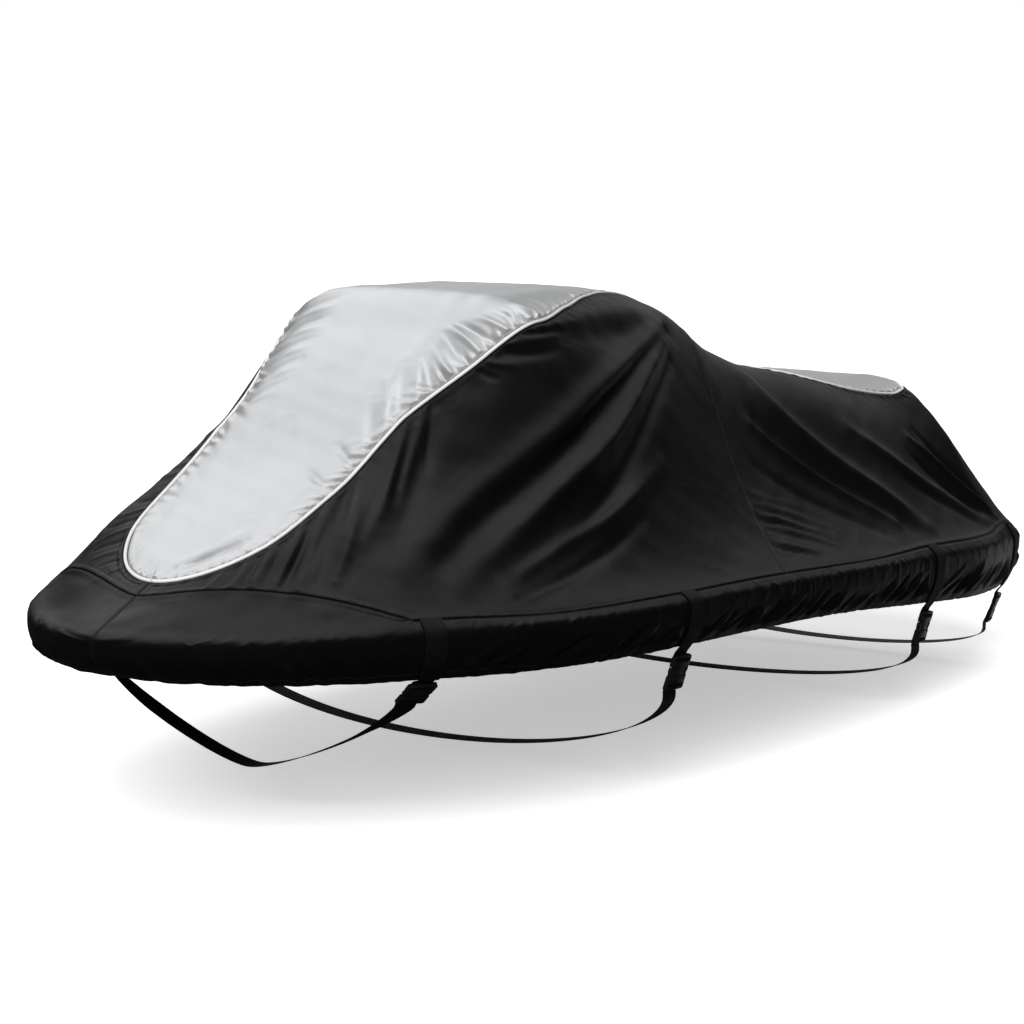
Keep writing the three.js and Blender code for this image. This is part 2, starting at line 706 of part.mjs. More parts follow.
// Band through the given stations on one side
function sideBand(side, stations) {
  const places = [...stations];
  places[0] += HALF_GAP;
  places[places.length - 1] -= HALF_GAP;
  return shell(places.map((s) => bandColumn(side, s)), CLOTH);
}

// Band round the stern, from one corner to the other
function sternBand() {
  const stations = [CORNER_START + HALF_GAP, ...cornerStations, ...turnStations, ...sternStations];
  const port = stations.map((s) => bandColumn(PORT, s));
  const starboard = stations.slice(0, -1).reverse().map((s) => bandColumn(STARBOARD, s));
  return shell([...port, ...starboard], CLOTH);
}

// Stern panel: the slope behind the seat, between the silver tail and the band
function sternPanel() {
  const inner = silverLine(PIPING_SEAT).slice(sternIndex);
  const outer = panelEdge([cornerMiddle, ...turnStations, ...sternStations]);
  [inner, outer].forEach((edge) => pullBack(edge, 0, 1, STERN_SEAM.slack));
  const rows = (side) => inner.map((from, i) => {
    const line = (t) => mix(from, outer[i], t).map((value, k) => (k === 1 ? side * value : value));
    return spreadEvenly(line, CELLS.sternSlope).map(onCloth);
  });
  return shell([...rows(PORT), ...rows(STARBOARD).slice(0, -1).reverse()], CLOTH);
}

// Bands between the straps' joints
const BANDS = [
  { name: 'fore', stations: [foreJoint, ...foreStations] },
  { name: 'waist', stations: [waistJoint, ...waistStations, ...saddleStations] },
  { name: 'seat', stations: [seatJoint, ...seatStations] },
];
SIDES.forEach(({ side, label }) => {
  add(`forward_panel_${label}`, forwardPanel(side), 'black');
  add(`rear_panel_${label}`, rearPanel(side), 'black');
  add(`bow_apron_${label}`, apronPanel(side), 'black');
  BANDS.forEach(({ name, stations }) => {
    add(`band_${name}_${label}`, sideBand(side, stations), 'black');
  });
});
add('stern_panel', sternPanel(), 'black');
add('band_stern', sternBand(), 'black');

// Direction along the band at one place of its profile
const alongBand = (side, s, v) => (
  bandPoint(side, s + STEP, v).sub(bandPoint(side, s - STEP, v)).normalize());

// Frame of a strap's buckle, below the hem: where it starts, along, across and outwards
function buckleFrame(side, strap) {
  const { out } = railFrame(strap.at);
  const outward = new THREE.Vector3(out[0], side * out[1], 0);
  const across = alongBand(side, strap.at, 2);
  const drop = radians(strap.drop);
  const along = outward.clone().multiplyScalar(-Math.cos(drop));
  along.z = -Math.sin(drop);
  along.addScaledVector(across, -along.dot(across)).normalize();
  const face = new THREE.Vector3().crossVectors(across, along).multiplyScalar(-side);
  const start = bandPoint(side, strap.at, 2)
    .addScaledVector(outward, strap.lift + STRAP_THICKNESS / 2)
    .addScaledVector(along, BUCKLE.hang);
  return { start, along, across, face };
}

const inFrame = (frame, along, face) => frame.start.clone()
  .addScaledVector(frame.along, along)
  .addScaledVector(frame.face, face);

// Way of a strap's end round a buckle's bar, as distance along the buckle and off its middle
const WRAP = [
  { along: -14, face: 1.5 },
  { along: -8, face: 4.4 },
  { along: -1, face: 5.8 },
  { along: 6.4, face: 5.8 },
  { along: 8.2, face: 2.4 },
  { along: 8.2, face: -6.5 },
];

// Flat strap through places with a width direction each
function ribbon(places) {
  const thickness = STRAP_THICKNESS / 2;
  const width = STRAP_WIDTH / 2;
  const rings = places.map(({ point, across, face }) => {
    const corner = (w, t) => point.clone()
      .addScaledVector(across, w * width)
      .addScaledVector(face, t * thickness);
    return [corner(-1, -1), corner(1, -1), corner(1, 1), corner(-1, 1)];
  });
  return tube(rings);
}

// Face direction of each place, square to the strap's way and to its width
function withFaces(places) {
  return places.map((place, i) => {
    const before = places[Math.max(i - 1, 0)].point;
    const after = places[Math.min(i + 1, places.length - 1)].point;
    const way = after.clone().sub(before);
    const face = new THREE.Vector3().crossVectors(place.across, way).normalize();
    const across = new THREE.Vector3().crossVectors(way, face).normalize();
    return { point: place.point, across, face };
  });
}

// Webbing sewn down the band, then round the buckle's upper bar
function bandWebbing(side, strap) {
  const lift = strap.lift + STRAP_THICKNESS / 2;
  const onBand = bandRows.map((v) => ({
    point: bandPoint(side, strap.at, v).addScaledVector(bandNormal(side, strap.at, v), lift),
    across: alongBand(side, strap.at, v),
  }));
  const frame = buckleFrame(side, strap);
  const wrapped = WRAP.map(({ along, face }) => (
    { point: inFrame(frame, along, face), across: frame.across }));
  return ribbon(withFaces([...onBand, ...wrapped]));
}

// Webbing that passes under the craft from one buckle to the other
function underWebbing(strap) {
  const sideWay = (side) => {
    const frame = buckleFrame(side, strap);
    const wrap = WRAP.map(({ along, face }) => (
      { point: inFrame(frame, BUCKLE.length - along, face), across: frame.across }));
    const first = inFrame(frame, BUCKLE.length + BUCKLE.hang, 0);
    const keel = new THREE.Vector3(first.x, 0, strap.keel);
    const curve = new THREE.CubicBezierCurve3(
      first,
      first.clone().addScaledVector(frame.along, strap.lead).setX(first.x),
      keel.clone().setY(side * strap.flat),
      keel,
    );
    const aft = new THREE.Vector3(1, 0, 0);
    const run = range(STRAP_STEPS).map((t) => ({
      point: curve.getPoint(t),
      across: frame.across.clone().lerp(aft, clamp(t / STRAP_SETTLE, 0, 1)).normalize(),
    }));
    return [...wrap.reverse(), ...run];
  };
  const starboard = sideWay(STARBOARD).slice(0, -1).reverse();
  return ribbon(withFaces([...sideWay(PORT), ...starboard]));
}

// Outlines of the buckle's two halves, as distances across and along
function outlineShape(points, slotStart) {
  const shape = new THREE.Shape(points.map(([across, along]) => new THREE.Vector2(across, along)));
  const inner = STRAP_WIDTH / 2 + BUCKLE.room;
  const slotEnd = slotStart + BUCKLE.slot;
  shape.holes.push(new THREE.Path([
    new THREE.Vector2(-inner, slotStart),
    new THREE.Vector2(-inner, slotEnd),
    new THREE.Vector2(inner, slotEnd),
    new THREE.Vector2(inner, slotStart),
  ]));
  return shape;
}

const mirrored = (points) => [...points, ...[...points].reverse().map(([a, b]) => [-a, b])];

// Upper half, with a tongue between two open channels
function socketShape() {
  const { width, bar, mouth, tongue, channel } = BUCKLE;
  const side = width / 2;
  return outlineShape(mirrored([
    [side - 3, 0], [side, 3], [side, channel], [tongue / 2, channel + 4], [tongue / 2, mouth],
  ]), bar);
}

// Lower half, with two prongs that clip into the channels
function prongShape() {
  const { width, length, bar, slot, mouth, tongue, channel, play } = BUCKLE;
  const side = width / 2;
  const root = tongue / 2 + play;
  return outlineShape(mirrored([
    [root, mouth + play], [root, channel + 4 + 2 * play], [side, channel + 3 * play],
    [side + 1, mouth - 10], [side - 2, mouth - 4], [side, mouth + 3],
    [side, length - 3], [side - 3, length],
  ]), length - bar - slot);
}

function buckleHalf(name, shape, frame) {
  const geometry = new THREE.ExtrudeGeometry(shape, { depth: BUCKLE.thickness, bevelEnabled: false });
  geometry.translate(0, 0, -BUCKLE.thickness / 2);
  const turn = new THREE.Matrix4().makeBasis(frame.across, frame.along, frame.face);
  const flipped = turn.determinant() < 0;
  if (flipped) turn.makeBasis(frame.across.clone().negate(), frame.along, frame.face);
  turn.setPosition(frame.start);
  geometry.applyMatrix4(turn);
  add(name, geometry, 'plastic');
}

STRAPS.forEach((strap) => {
  SIDES.forEach(({ side, label }) => {
    const frame = buckleFrame(side, strap);
    add(`webbing_${strap.name}_${label}`, bandWebbing(side, strap), 'webbing');
    buckleHalf(`buckle_socket_${strap.name}_${label}`, socketShape(), frame);
    buckleHalf(`buckle_prongs_${strap.name}_${label}`, prongShape(), frame);
  });
  add(`webbing_under_${strap.name}`, underWebbing(strap), 'webbing');
});

// The origin lies under the hump, against the cloth's inner face
const HOLD = 1200;
cover.position.set(-HOLD, 0, CLOTH - crestHeight(HOLD));

export default cover;
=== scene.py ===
"""Fitted cover for a personal watercraft: its cloth, piping, stitching, webbing and buckles.

Cloth is worked out in millimetres, aft from the bow tip and up from the rail's level, with
port at -Y, and is set down in the frame's metres when it becomes a mesh.
"""

import math
import random

import bmesh
import bpy
import numpy as np
from mathutils import Matrix, Vector


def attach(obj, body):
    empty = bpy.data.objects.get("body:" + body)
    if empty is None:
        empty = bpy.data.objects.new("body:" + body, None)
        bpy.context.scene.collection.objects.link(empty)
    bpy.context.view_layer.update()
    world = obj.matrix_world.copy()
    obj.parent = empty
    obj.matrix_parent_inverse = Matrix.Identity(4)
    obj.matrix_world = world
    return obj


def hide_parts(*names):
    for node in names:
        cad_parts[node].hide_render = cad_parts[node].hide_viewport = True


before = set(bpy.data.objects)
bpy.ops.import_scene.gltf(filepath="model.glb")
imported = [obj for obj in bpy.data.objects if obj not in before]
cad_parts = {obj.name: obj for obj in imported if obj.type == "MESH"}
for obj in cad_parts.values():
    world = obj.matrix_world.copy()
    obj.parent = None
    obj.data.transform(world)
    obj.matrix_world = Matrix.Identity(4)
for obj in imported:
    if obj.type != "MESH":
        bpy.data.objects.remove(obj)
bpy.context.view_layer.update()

# Sides, length, and the place where the cover is held up
PORT, STARBOARD = -1, 1
SIDES = {"port": PORT, "starboard": STARBOARD}
LENGTH = 2830
HOLD = 1200

# Cloth: its thickness, lap over the next piece, drop into a seam and fold beside the seam
CLOTH = 2
LAP = 1.5
TUCK = 2.4
ALLOWANCE = 0.9

# Trim
PIPING_RADIUS = 3.5
PIPING_GAP = 4.0
PIPING_RINGS, PIPING_SIDES = 641, 12
STITCH_PITCH = 6.4
STRAP_WIDTH = 45
STRAP_THICKNESS = 1.6
STRAP_GAP = 0.9
STRAP_STITCH = dict(pitch=5, length=3.6)

# Grids of the sheets: rows along, columns across, and the first columns in from an edge
SILVER_GRID = (1081, 66)
FORWARD_GRID = (661, 84)
REAR_GRID = (361, 74)
STERN_GRID = (101, 34)
APRON_GRID = (151, 22)
EDGE_STEPS = (1.2, 2.6, 4.5, 7, 10, 13)

# Rail, over which the cloth turns down
BOW_LENGTH = 810
BOW_FULLNESS = 1.87
CORNER = 70
RAIL = [
    dict(x=0, half=520, z=20),
    dict(x=400, half=545, z=16),
    dict(x=1100, half=612, z=-3),
    dict(x=1700, half=618, z=-27),
    dict(x=2300, half=580, z=-62),
    dict(x=2830, half=452, z=-102),
]

# Height of the middle line
CREST = [
    dict(x=0, z=18),
    dict(x=120, z=74),
    dict(x=300, z=165),
    dict(x=500, z=268),
    dict(x=700, z=404),
    dict(x=850, z=496),
    dict(x=1000, z=571),
    dict(x=1200, z=568),
    dict(x=1450, z=550),
    dict(x=1650, z=512),
    dict(x=1800, z=420),
    dict(x=1950, z=358),
    dict(x=2150, z=323),
    dict(x=2400, z=291),
    dict(x=2600, z=278),
    dict(x=2655, z=219),
    dict(x=2720, z=132),
    dict(x=2830, z=-52),
]

# Cross section: where the flank starts, as a share of the half width, and how sharply
FLANK = [
    dict(x=0, shoulder=0.73, sharp=2.8),
    dict(x=350, shoulder=0.88, sharp=4.4),
    dict(x=700, shoulder=0.63, sharp=4.6),
    dict(x=1000, shoulder=0.67, sharp=6.4),
    dict(x=1350, shoulder=0.65, sharp=4.6),
    dict(x=1700, shoulder=0.6, sharp=3.8),
    dict(x=2100, shoulder=0.77, sharp=5.6),
    dict(x=2500, shoulder=0.74, sharp=5.4),
    dict(x=2830, shoulder=1.13, sharp=5.5),
]

# Skirt: its depth below the roll, and how far the elastic draws the hem in
ROLL = 24
ROLL_PITCH = 1.8
RAIL_EDGE = 2.2
SKIRT = [
    dict(x=0, depth=78, tuck=60),
    dict(x=200, depth=86, tuck=38),
    dict(x=600, depth=93, tuck=30),
    dict(x=1500, depth=88, tuck=26),
    dict(x=2400, depth=114, tuck=26),
    dict(x=2830, depth=118, tuck=34),
]

# Silver panel: half width along the craft, with an oval nose and a flat oval tail
NOSE_X, NOSE_LENGTH = 168, 360
TAIL_X, TAIL_LENGTH = 2580, 60
SILVER = [
    dict(x=300, half=204),
    dict(x=450, half=188),
    dict(x=650, half=196),
    dict(x=850, half=247),
    dict(x=1000, half=280),
    dict(x=1150, half=247),
    dict(x=1300, half=193),
    dict(x=1500, half=130),
    dict(x=1700, half=92),
    dict(x=1900, half=88),
    dict(x=2000, half=140),
    dict(x=2080, half=215),
    dict(x=2160, half=252),
    dict(x=2300, half=268),
    dict(x=2500, half=262),
    dict(x=2640, half=238),
]

# Seams from the middle line out to the band
APRON_X, APRON_LAG, APRON_CROWD = 125, 1.4, 1.9
MIDDLE_X, MIDDLE_FOOT, MIDDLE_LAG = 1874, 1435, 0.8
STERN_TURN = 35

# Straps: where the band is joined beside each, where it lies and how its buckle hangs
STRAPS = [
    dict(name="fore", joint=372, at=405, lift=0.8, drop=36, keel=-292, lead=120, flat=60),
    dict(name="waist", joint=1022, at=1056, lift=0.5, drop=72, keel=-338, lead=70, flat=300),
    dict(name="seat", joint=2059, at=2108, lift=0.5, drop=76, keel=-354, lead=60, flat=260),
    dict(name="tail", joint=2760, at=2725, lift=0.9, drop=70, keel=-378, lead=30, flat=240),
]
FORE_JOINT, WAIST_JOINT, SEAT_JOINT, TAIL_JOINT = [strap["joint"] for strap in STRAPS]

# Main folds, in the frame's solids too: x and height of places, width, rise, narrower start
FOLDS = {
    PORT: [
        ([(1610, 480), (1300, 424), (1035, 367), (843, 271), (640, 190), (440, 112)], 46, 16, 0.5),
        ([(1550, 460), (1330, 420), (1107, 362), (955, 300), (755, 210), (530, 116)], 30, -12, 0.5),
        ([(1490, 442), (1300, 383), (1110, 305), (914, 229), (735, 143), (530, 80)], 36, 16, 0.5),
        ([(1480, 405), (1320, 342), (1160, 262), (1000, 184), (860, 118), (670, 60)], 28, -10, 0.4),
        ([(1240, 225), (1065, 176), (914, 136), (778, 96), (640, 64)], 25, 10, 0.2),
        ([(734, 369), (601, 253), (473, 161)], 24, -6),
        ([(659, 344), (502, 226), (379, 148)], 24, 7),
        ([(555, 281), (346, 160), (250, 100)], 22, -6),
        ([(1850, 335), (1920, 190), (2170, 0)], 34, 14, 0.3),
        ([(1790, 262), (1890, 150), (2050, 18)], 22, -9),
        ([(1745, 252), (1870, 132), (2040, 20)], 20, 9),
        ([(2080, 212), (2290, 80), (2570, -45)], 32, 9),
        ([(2400, 156), (2490, 78), (2680, -58)], 20, 10),
        ([(1533, 100), (1650, 60), (1775, 24)], 18, 7),
        ([(1505, 56), (1580, 28), (1660, 10)], 16, 6),
    ],
    STARBOARD: [
        ([(1600, 470), (1040, 350), (700, 205)], 40, 14),
        ([(1280, 380), (960, 270), (620, 150)], 26, -12),
        ([(1450, 420), (1050, 265), (530, 90)], 36, 14),
        ([(1140, 215), (900, 125), (660, 48)], 32, 8),
        ([(700, 350), (560, 240), (430, 150)], 24, -6),
        ([(600, 310), (430, 190), (320, 120)], 22, 6),
        ([(1880, 310), (1985, 180), (2200, 50)], 34, 13),
        ([(1830, 255), (1925, 140), (2120, 20)], 22, -8),
        ([(1750, 235), (1900, 120), (2080, 5)], 24, 10),
        ([(2120, 215), (2310, 95), (2600, -30)], 32, 10),
        ([(2430, 150), (2500, 60), (2690, -50)], 24, 10),
        ([(1530, 90), (1640, 55), (1760, 20)], 18, 6),
    ],
}

# Finer creases: places, width and rise, on port as seen and on starboard a little otherwise
CREASES = {
    PORT: [
        ([(913, 486), (951, 488), (1031, 492)], 7, 3.6),
        ([(940, 499), (985, 499), (1060, 498)], 7, -3.2),
        ([(968, 511), (1025, 511), (1133, 509)], 9, 3.0),
        ([(887, 470), (921, 463), (1010, 466)], 10, -4.4),
        ([(858, 453), (870, 447), (905, 443)], 6, 3.0),
        ([(835, 441), (840, 430), (856, 421)], 7, -3.0),
        ([(1010, 508), (1290, 514), (1590, 490)], 30, 6.0),
        ([(1020, 486), (1250, 478), (1480, 462)], 34, -5.0),
        ([(705, 368), (635, 303), (560, 240)], 13, 4.0),
        ([(680, 350), (604, 285), (530, 225)], 12, -4.6),
        ([(651, 337), (576, 272), (480, 200)], 12, 3.8),
        ([(724, 378), (691, 335), (639, 270)], 9, -3.0),
        ([(620, 318), (520, 240), (420, 172)], 12, -3.8),
        ([(572, 297), (435, 196), (323, 104)], 13, 5.2),
        ([(509, 258), (396, 182), (294, 100)], 11, -4.2),
        ([(463, 235), (344, 160), (263, 92)], 11, 4.8),
        ([(421, 215), (323, 153), (243, 90)], 9, -3.8),
        ([(379, 194), (305, 145), (227, 88)], 9, 3.8),
        ([(347, 179), (279, 135), (217, 88)], 8, -3.4),
        ([(314, 163), (256, 126), (206, 90)], 8, 3.4),
        ([(287, 149), (239, 119), (197, 90)], 7, -3.0),
        ([(261, 137), (222, 113), (186, 90)], 7, 2.8),
        ([(241, 128), (208, 108), (175, 90)], 6, -2.4),
        ([(224, 121), (195, 105), (168, 90)], 6, 2.2),
        ([(204, 113), (183, 101), (165, 90)], 6, -1.8),
        ([(1530, 465), (1215, 408), (900, 298)], 20, 5.0),
        ([(1380, 410), (1080, 294), (760, 154)], 16, 5.0),
        ([(1090, 142), (860, 79), (590, 36)], 14, -6.0),
        ([(1130, 192), (914, 138), (690, 78)], 12, 4.0),
        ([(1848, 326), (1912, 196), (2110, 40)], 15, 5.0),
        ([(1742, 250), (1866, 134), (2036, 22)], 9, 5.0),
        ([(1660, 176), (1800, 90), (1960, 8)], 18, -7.0),
        ([(2190, 112), (2310, 48), (2480, -28)], 18, -5.0),
        ([(2084, 208), (2286, 84), (2560, -42)], 15, 4.0),
        ([(2396, 158), (2486, 80), (2676, -54)], 8, 5.0),
        ([(2350, 134), (2450, 56), (2610, -36)], 15, -8.0),
        ([(2470, 170), (2560, 70), (2690, -60)], 12, -6.0),
        ([(1548, 136), (1620, 112), (1740, 84)], 9, 3.0),
        ([(1538, 115), (1670, 79), (1810, 28)], 9, 4.4),
        ([(1530, 104), (1640, 70), (1760, 30)], 8, -4.4),
        ([(1524, 95), (1576, 81), (1642, 67)], 5, 2.8),
        ([(1510, 77), (1631, 47), (1745, 8)], 8, 5.0),
        ([(1514, 86), (1600, 64), (1700, 32)], 6, -3.6),
        ([(1497, 62), (1536, 49), (1596, 36)], 5, 2.8),
        ([(1490, 49), (1549, 30), (1630, 10)], 7, 4.2),
        ([(1494, 56), (1560, 39), (1640, 20)], 5, -3.4),
        ([(1477, 34), (1550, 16), (1640, -2)], 6, 3.2),
        ([(1484, 41), (1545, 24), (1610, 8)], 5, -3.0),
        ([(1465, 17), (1520, 8), (1582, -2)], 5, 2.4),
    ],
    STARBOARD: [
        ([(432, 214), (436, 228), (452, 234)], 9, 2.2),
        ([(416, 190), (402, 205), (417, 218)], 8, -2.2),
        ([(383, 166), (371, 188), (386, 203)], 8, 2.3),
        ([(349, 149), (341, 172), (352, 187)], 8, -2.3),
        ([(312, 133), (310, 157), (319, 170)], 8, 2.3),
        ([(277, 120), (275, 140), (281, 152)], 8, -2.2),
        ([(244, 108), (244, 127), (246, 135)], 7, 1.9),
        ([(206, 102), (215, 115), (218, 122)], 6, -1.6),
        ([(178, 97), (190, 106), (194, 110)], 6, 1.3),
        ([(500, 216), (484, 242), (509, 262)], 10, 2.2),
        ([(548, 246), (534, 275), (556, 292)], 10, -2.2),
        ([(628, 290), (615, 325), (633, 341)], 11, 2.0),
        ([(700, 330), (690, 360), (705, 378)], 12, -2.0),
        ([(905, 470), (960, 462), (1050, 468)], 11, -4.0),
        ([(940, 490), (1000, 489), (1090, 490)], 8, 3.4),
        ([(1010, 506), (1280, 512), (1580, 490)], 30, 6.0),
        ([(1560, 464), (1260, 420), (960, 330)], 20, 5.0),
        ([(1400, 405), (1100, 285), (800, 150)], 16, 4.6),
        ([(660, 330), (560, 250), (450, 175)], 12, 4.0),
        ([(590, 290), (470, 215), (370, 150)], 11, -4.0),
        ([(1090, 150), (870, 85), (620, 38)], 14, -5.0),
        ([(1800, 285), (1885, 178), (2070, 24)], 13, -5.0),
        ([(1870, 300), (1975, 180), (2190, 48)], 14, 5.0),
        ([(1775, 232), (1930, 108), (2065, 0)], 9, 5.0),
        ([(2140, 200), (2320, 88), (2580, -34)], 15, 4.0),
        ([(2430, 146), (2505, 62), (2680, -52)], 8, 5.0),
        ([(2380, 128), (2460, 50), (2620, -40)], 15, -7.0),
        ([(1545, 118), (1680, 80), (1800, 30)], 8, 4.0),
        ([(1520, 84), (1620, 52), (1730, 14)], 8, 4.4),
        ([(1528, 100), (1630, 70), (1740, 34)], 7, -3.8),
        ([(1496, 50), (1560, 30), (1630, 12)], 6, 3.4),
    ],
}

# Creases of the silver panel: x and y of places, with port below zero, then width and rise
SILVER_CREASES = [
    ([(205, -24), (256, -71), (306, -108)], 9, -6.1),
    ([(225, -20), (275, -62), (330, -96)], 12, 3.0),
    ([(569, -197), (617, -158), (678, -118)], 11, -3.5),
    ([(605, -199), (657, -166), (731, -122)], 10, 3.5),
    ([(646, -201), (697, -169), (773, -130)], 11, -3.2),
    ([(695, -205), (733, -185), (793, -150)], 10, 3.2),
    ([(530, -187), (553, -147), (571, -118)], 9, -3.5),
    ([(470, -175), (484, -136), (501, -104)], 9, -3.2),
    ([(748, -215), (765, -185), (800, -150)], 10, -4.3),
    ([(787, -226), (799, -196), (829, -158)], 9, 4.6),
    ([(820, -238), (835, -200), (862, -156)], 10, -5.4),
    ([(857, -248), (866, -207), (880, -158)], 9, 5.4),
    ([(890, -258), (889, -220), (893, -172)], 10, -5.4),
    ([(927, -270), (922, -240), (917, -198)], 9, 4.6),
    ([(968, -278), (955, -255), (944, -220)], 9, -4.1),
    ([(1032, -275), (1008, -258), (985, -230)], 9, 3.2),
    ([(1090, -262), (1064, -247), (1040, -225)], 9, -2.7),
    ([(955, 262), (954, 210), (985, 150)], 11, 3.5),
    ([(925, 258), (925, 205), (950, 150)], 10, -3.8),
    ([(893, 252), (900, 196), (918, 150)], 10, 4.1),
    ([(862, 246), (873, 192), (890, 146)], 10, -4.1),
    ([(829, 238), (842, 186), (858, 140)], 10, 4.1),
    ([(796, 230), (810, 180), (829, 136)], 10, -4.1),
    ([(765, 222), (780, 172), (800, 128)], 10, 3.8),
    ([(730, 212), (748, 166), (770, 122)], 10, -3.5),
    ([(700, 206), (718, 162), (742, 120)], 10, 3.2),
    ([(668, 200), (684, 158), (706, 120)], 9, -3.0),
    ([(640, 196), (655, 160), (676, 128)], 9, 2.7),
]

# Small gathers beside a seam, by distance along it: how often, how long, wide and high
SILVER_GATHERS = [
    dict(start=0, end=190, pitch=11, reach=46, width=3.6, rise=2.4, lean=0.5),
    dict(start=190, end=330, pitch=16, reach=26, width=4.5, rise=2.2, lean=0.2),
    dict(start=330, end=560, pitch=17, reach=40, width=5.0, rise=4.3, lean=-0.5),
    dict(start=560, end=760, pitch=20, reach=62, width=5.6, rise=4.1, lean=-0.8),
    dict(start=760, end=1010, pitch=15, reach=48, width=5.2, rise=5.1, lean=0.3),
    dict(start=1010, end=1290, pitch=16, reach=34, width=5.0, rise=3.6, lean=0.7),
    dict(start=1290, end=2050, pitch=21, reach=30, width=5.5, rise=3.0, lean=0.2),
    dict(start=2050, end=2780, pitch=20, reach=38, width=5.5, rise=3.2, lean=-0.2),
]
FLANK_GATHERS = [
    dict(start=0, end=420, pitch=12, reach=34, width=4.4, rise=1.1, lean=-0.5),
    dict(start=420, end=900, pitch=30, reach=60, width=7.0, rise=1.3, lean=-0.4),
    dict(start=900, end=1350, pitch=21, reach=52, width=6.0, rise=1.8, lean=0.9),
    dict(start=1350, end=1900, pitch=34, reach=44, width=7.0, rise=1.1, lean=0.4),
]
REAR_GATHERS = [
    dict(start=0, end=320, pitch=30, reach=40, width=7.0, rise=1.0, lean=0.5),
    dict(start=320, end=900, pitch=17, reach=44, width=5.0, rise=1.7, lean=0.8),
]
APRON_GATHERS = [
    dict(start=10, end=420, pitch=10, reach=16, width=3.2, rise=0.9, lean=0.3),
]
STERN_GATHERS = [
    dict(start=0, end=500, pitch=21, reach=48, width=6.0, rise=1.6, lean=0.0),
]
MIDDLE_GATHERS = [
    dict(start=0, end=900, pitch=26, reach=26, width=5.0, rise=0.7, lean=0.6),
]
FOOT_GATHERS = [
    dict(start=0, end=3000, pitch=23, reach=20, width=5.5, rise=0.7, lean=0.3),
]

# Wrinkles of the skirt, by distance along the rail: lean is along for each step down
SKIRT_WRINKLES = [
    dict(start=0, end=180, pitch=21, rise=5.2, width=5.5, lean=0.4),
    dict(start=180, end=372, pitch=27, rise=5.2, width=6.8, lean=0.8),
    dict(start=372, end=480, pitch=34, rise=4.4, width=8.1, lean=0.2),
    dict(start=480, end=1022, pitch=40, rise=5.5, width=9.3, lean=-1.7),
    dict(start=1022, end=1500, pitch=38, rise=6.2, width=8.9, lean=-1.9),
    dict(start=1500, end=2059, pitch=41, rise=5.7, width=9.3, lean=-1.6),
    dict(start=2059, end=2330, pitch=45, rise=5.2, width=10.2, lean=-1.8),
    dict(start=2330, end=2800, pitch=56, rise=7.3, width=12.8, lean=-2.2),
    dict(start=2800, end=3400, pitch=37, rise=4.9, width=8.5, lean=0.3),
]


# Curves through the tables

def through(rows, column):
    """Smooth curve through a table's rows that never overshoots them."""
    x = np.array([row["x"] for row in rows], float)
    y = np.array([row[column] for row in rows], float)
    slope = np.diff(y) / np.diff(x)
    product = slope[:-1] * slope[1:]
    total = np.where(product > 0, slope[:-1] + slope[1:], 1)
    tangent = np.concatenate([slope[:1], np.where(product > 0, 2 * product / total, 0), slope[-1:]])

    def curve(place):
        at = np.clip(place, x[0], x[-1])
        i = np.clip(np.searchsorted(x, at, side="right") - 1, 0, len(slope) - 1)
        span = x[i + 1] - x[i]
        t = (at - x[i]) / span
        rise = y[i] * (1 + 2 * t) * (1 - t) ** 2 + y[i + 1] * t * t * (3 - 2 * t)
        return rise + span * t * (1 - t) * (tangent[i] * (1 - t) - tangent[i + 1] * t)
    return curve


rail_half = through(RAIL, "half")
rail_height = through(RAIL, "z")
crest_height = through(CREST, "z")
shoulder = through(FLANK, "shoulder")
sharpness = through(FLANK, "sharp")
skirt_depth = through(SKIRT, "depth")
skirt_tuck = through(SKIRT, "tuck")
silver_half = through(SILVER, "half")
ORIGIN = np.array([HOLD, 0, float(crest_height(HOLD)) - CLOTH])


def smooth(t):
    """0 to 1 with a soft start and end."""
    t = np.clip(t, 0, 1)
    return t * t * (3 - 2 * t)


def metres(points):
    """Places in the frame's metres."""
    return (points - ORIGIN) / 1000


# Shape of the taut cloth

def half_width(x):
    """Half width at the rail, rounded at the bow."""
    run = np.clip(1 - x / BOW_LENGTH, 0, 1)
    return rail_half(x) * (1 - run ** BOW_FULLNESS) ** (1 / BOW_FULLNESS)


def taut_height(x, y):
    """Height of the cloth without its folds, which falls from the crest to the rail."""
    share = np.clip(np.abs(y) / np.maximum(half_width(x), 0.001), 0, 1)

    def fall(q):
        return 1 / (1 + (q / shoulder(x)) ** sharpness(x))
    foot = fall(1)
    low = rail_height(x)
    return low + (crest_height(x) - low) * (fall(share) - foot) / (1 - foot)


def taut(x, y):
    return np.stack([x, y, taut_height(x, y)], axis=-1)


def unit(vectors):
    return vectors / np.maximum(np.linalg.norm(vectors, axis=-1, keepdims=True), 1e-9)


def taut_normal(x, y, step=0.5):
    along = taut(x + step, y) - taut(x - step, y)
    across = taut(x, y + step) - taut(x, y - step)
    return unit(np.cross(along, across))


def flank_point(x, height, side):
    """Places on one flank at given heights."""
    inner = np.zeros_like(x)
    outer = half_width(x)
    for _ in range(24):
        middle = (inner + outer) / 2
        above = taut_height(x, middle) > height
        inner = np.where(above, middle, inner)
        outer = np.where(above, outer, middle)
    return taut(x, side * inner)


def arc_through(start, via, end, steps=10):
    """Plain curve that passes its middle place half way along."""
    t = np.linspace(0, 1, steps + 1)[:, None]
    start, via, end = (np.array(place, float) for place in (start, via, end))
    return start + (end - start) * t + 4 * t * (1 - t) * (via - (start + end) / 2)


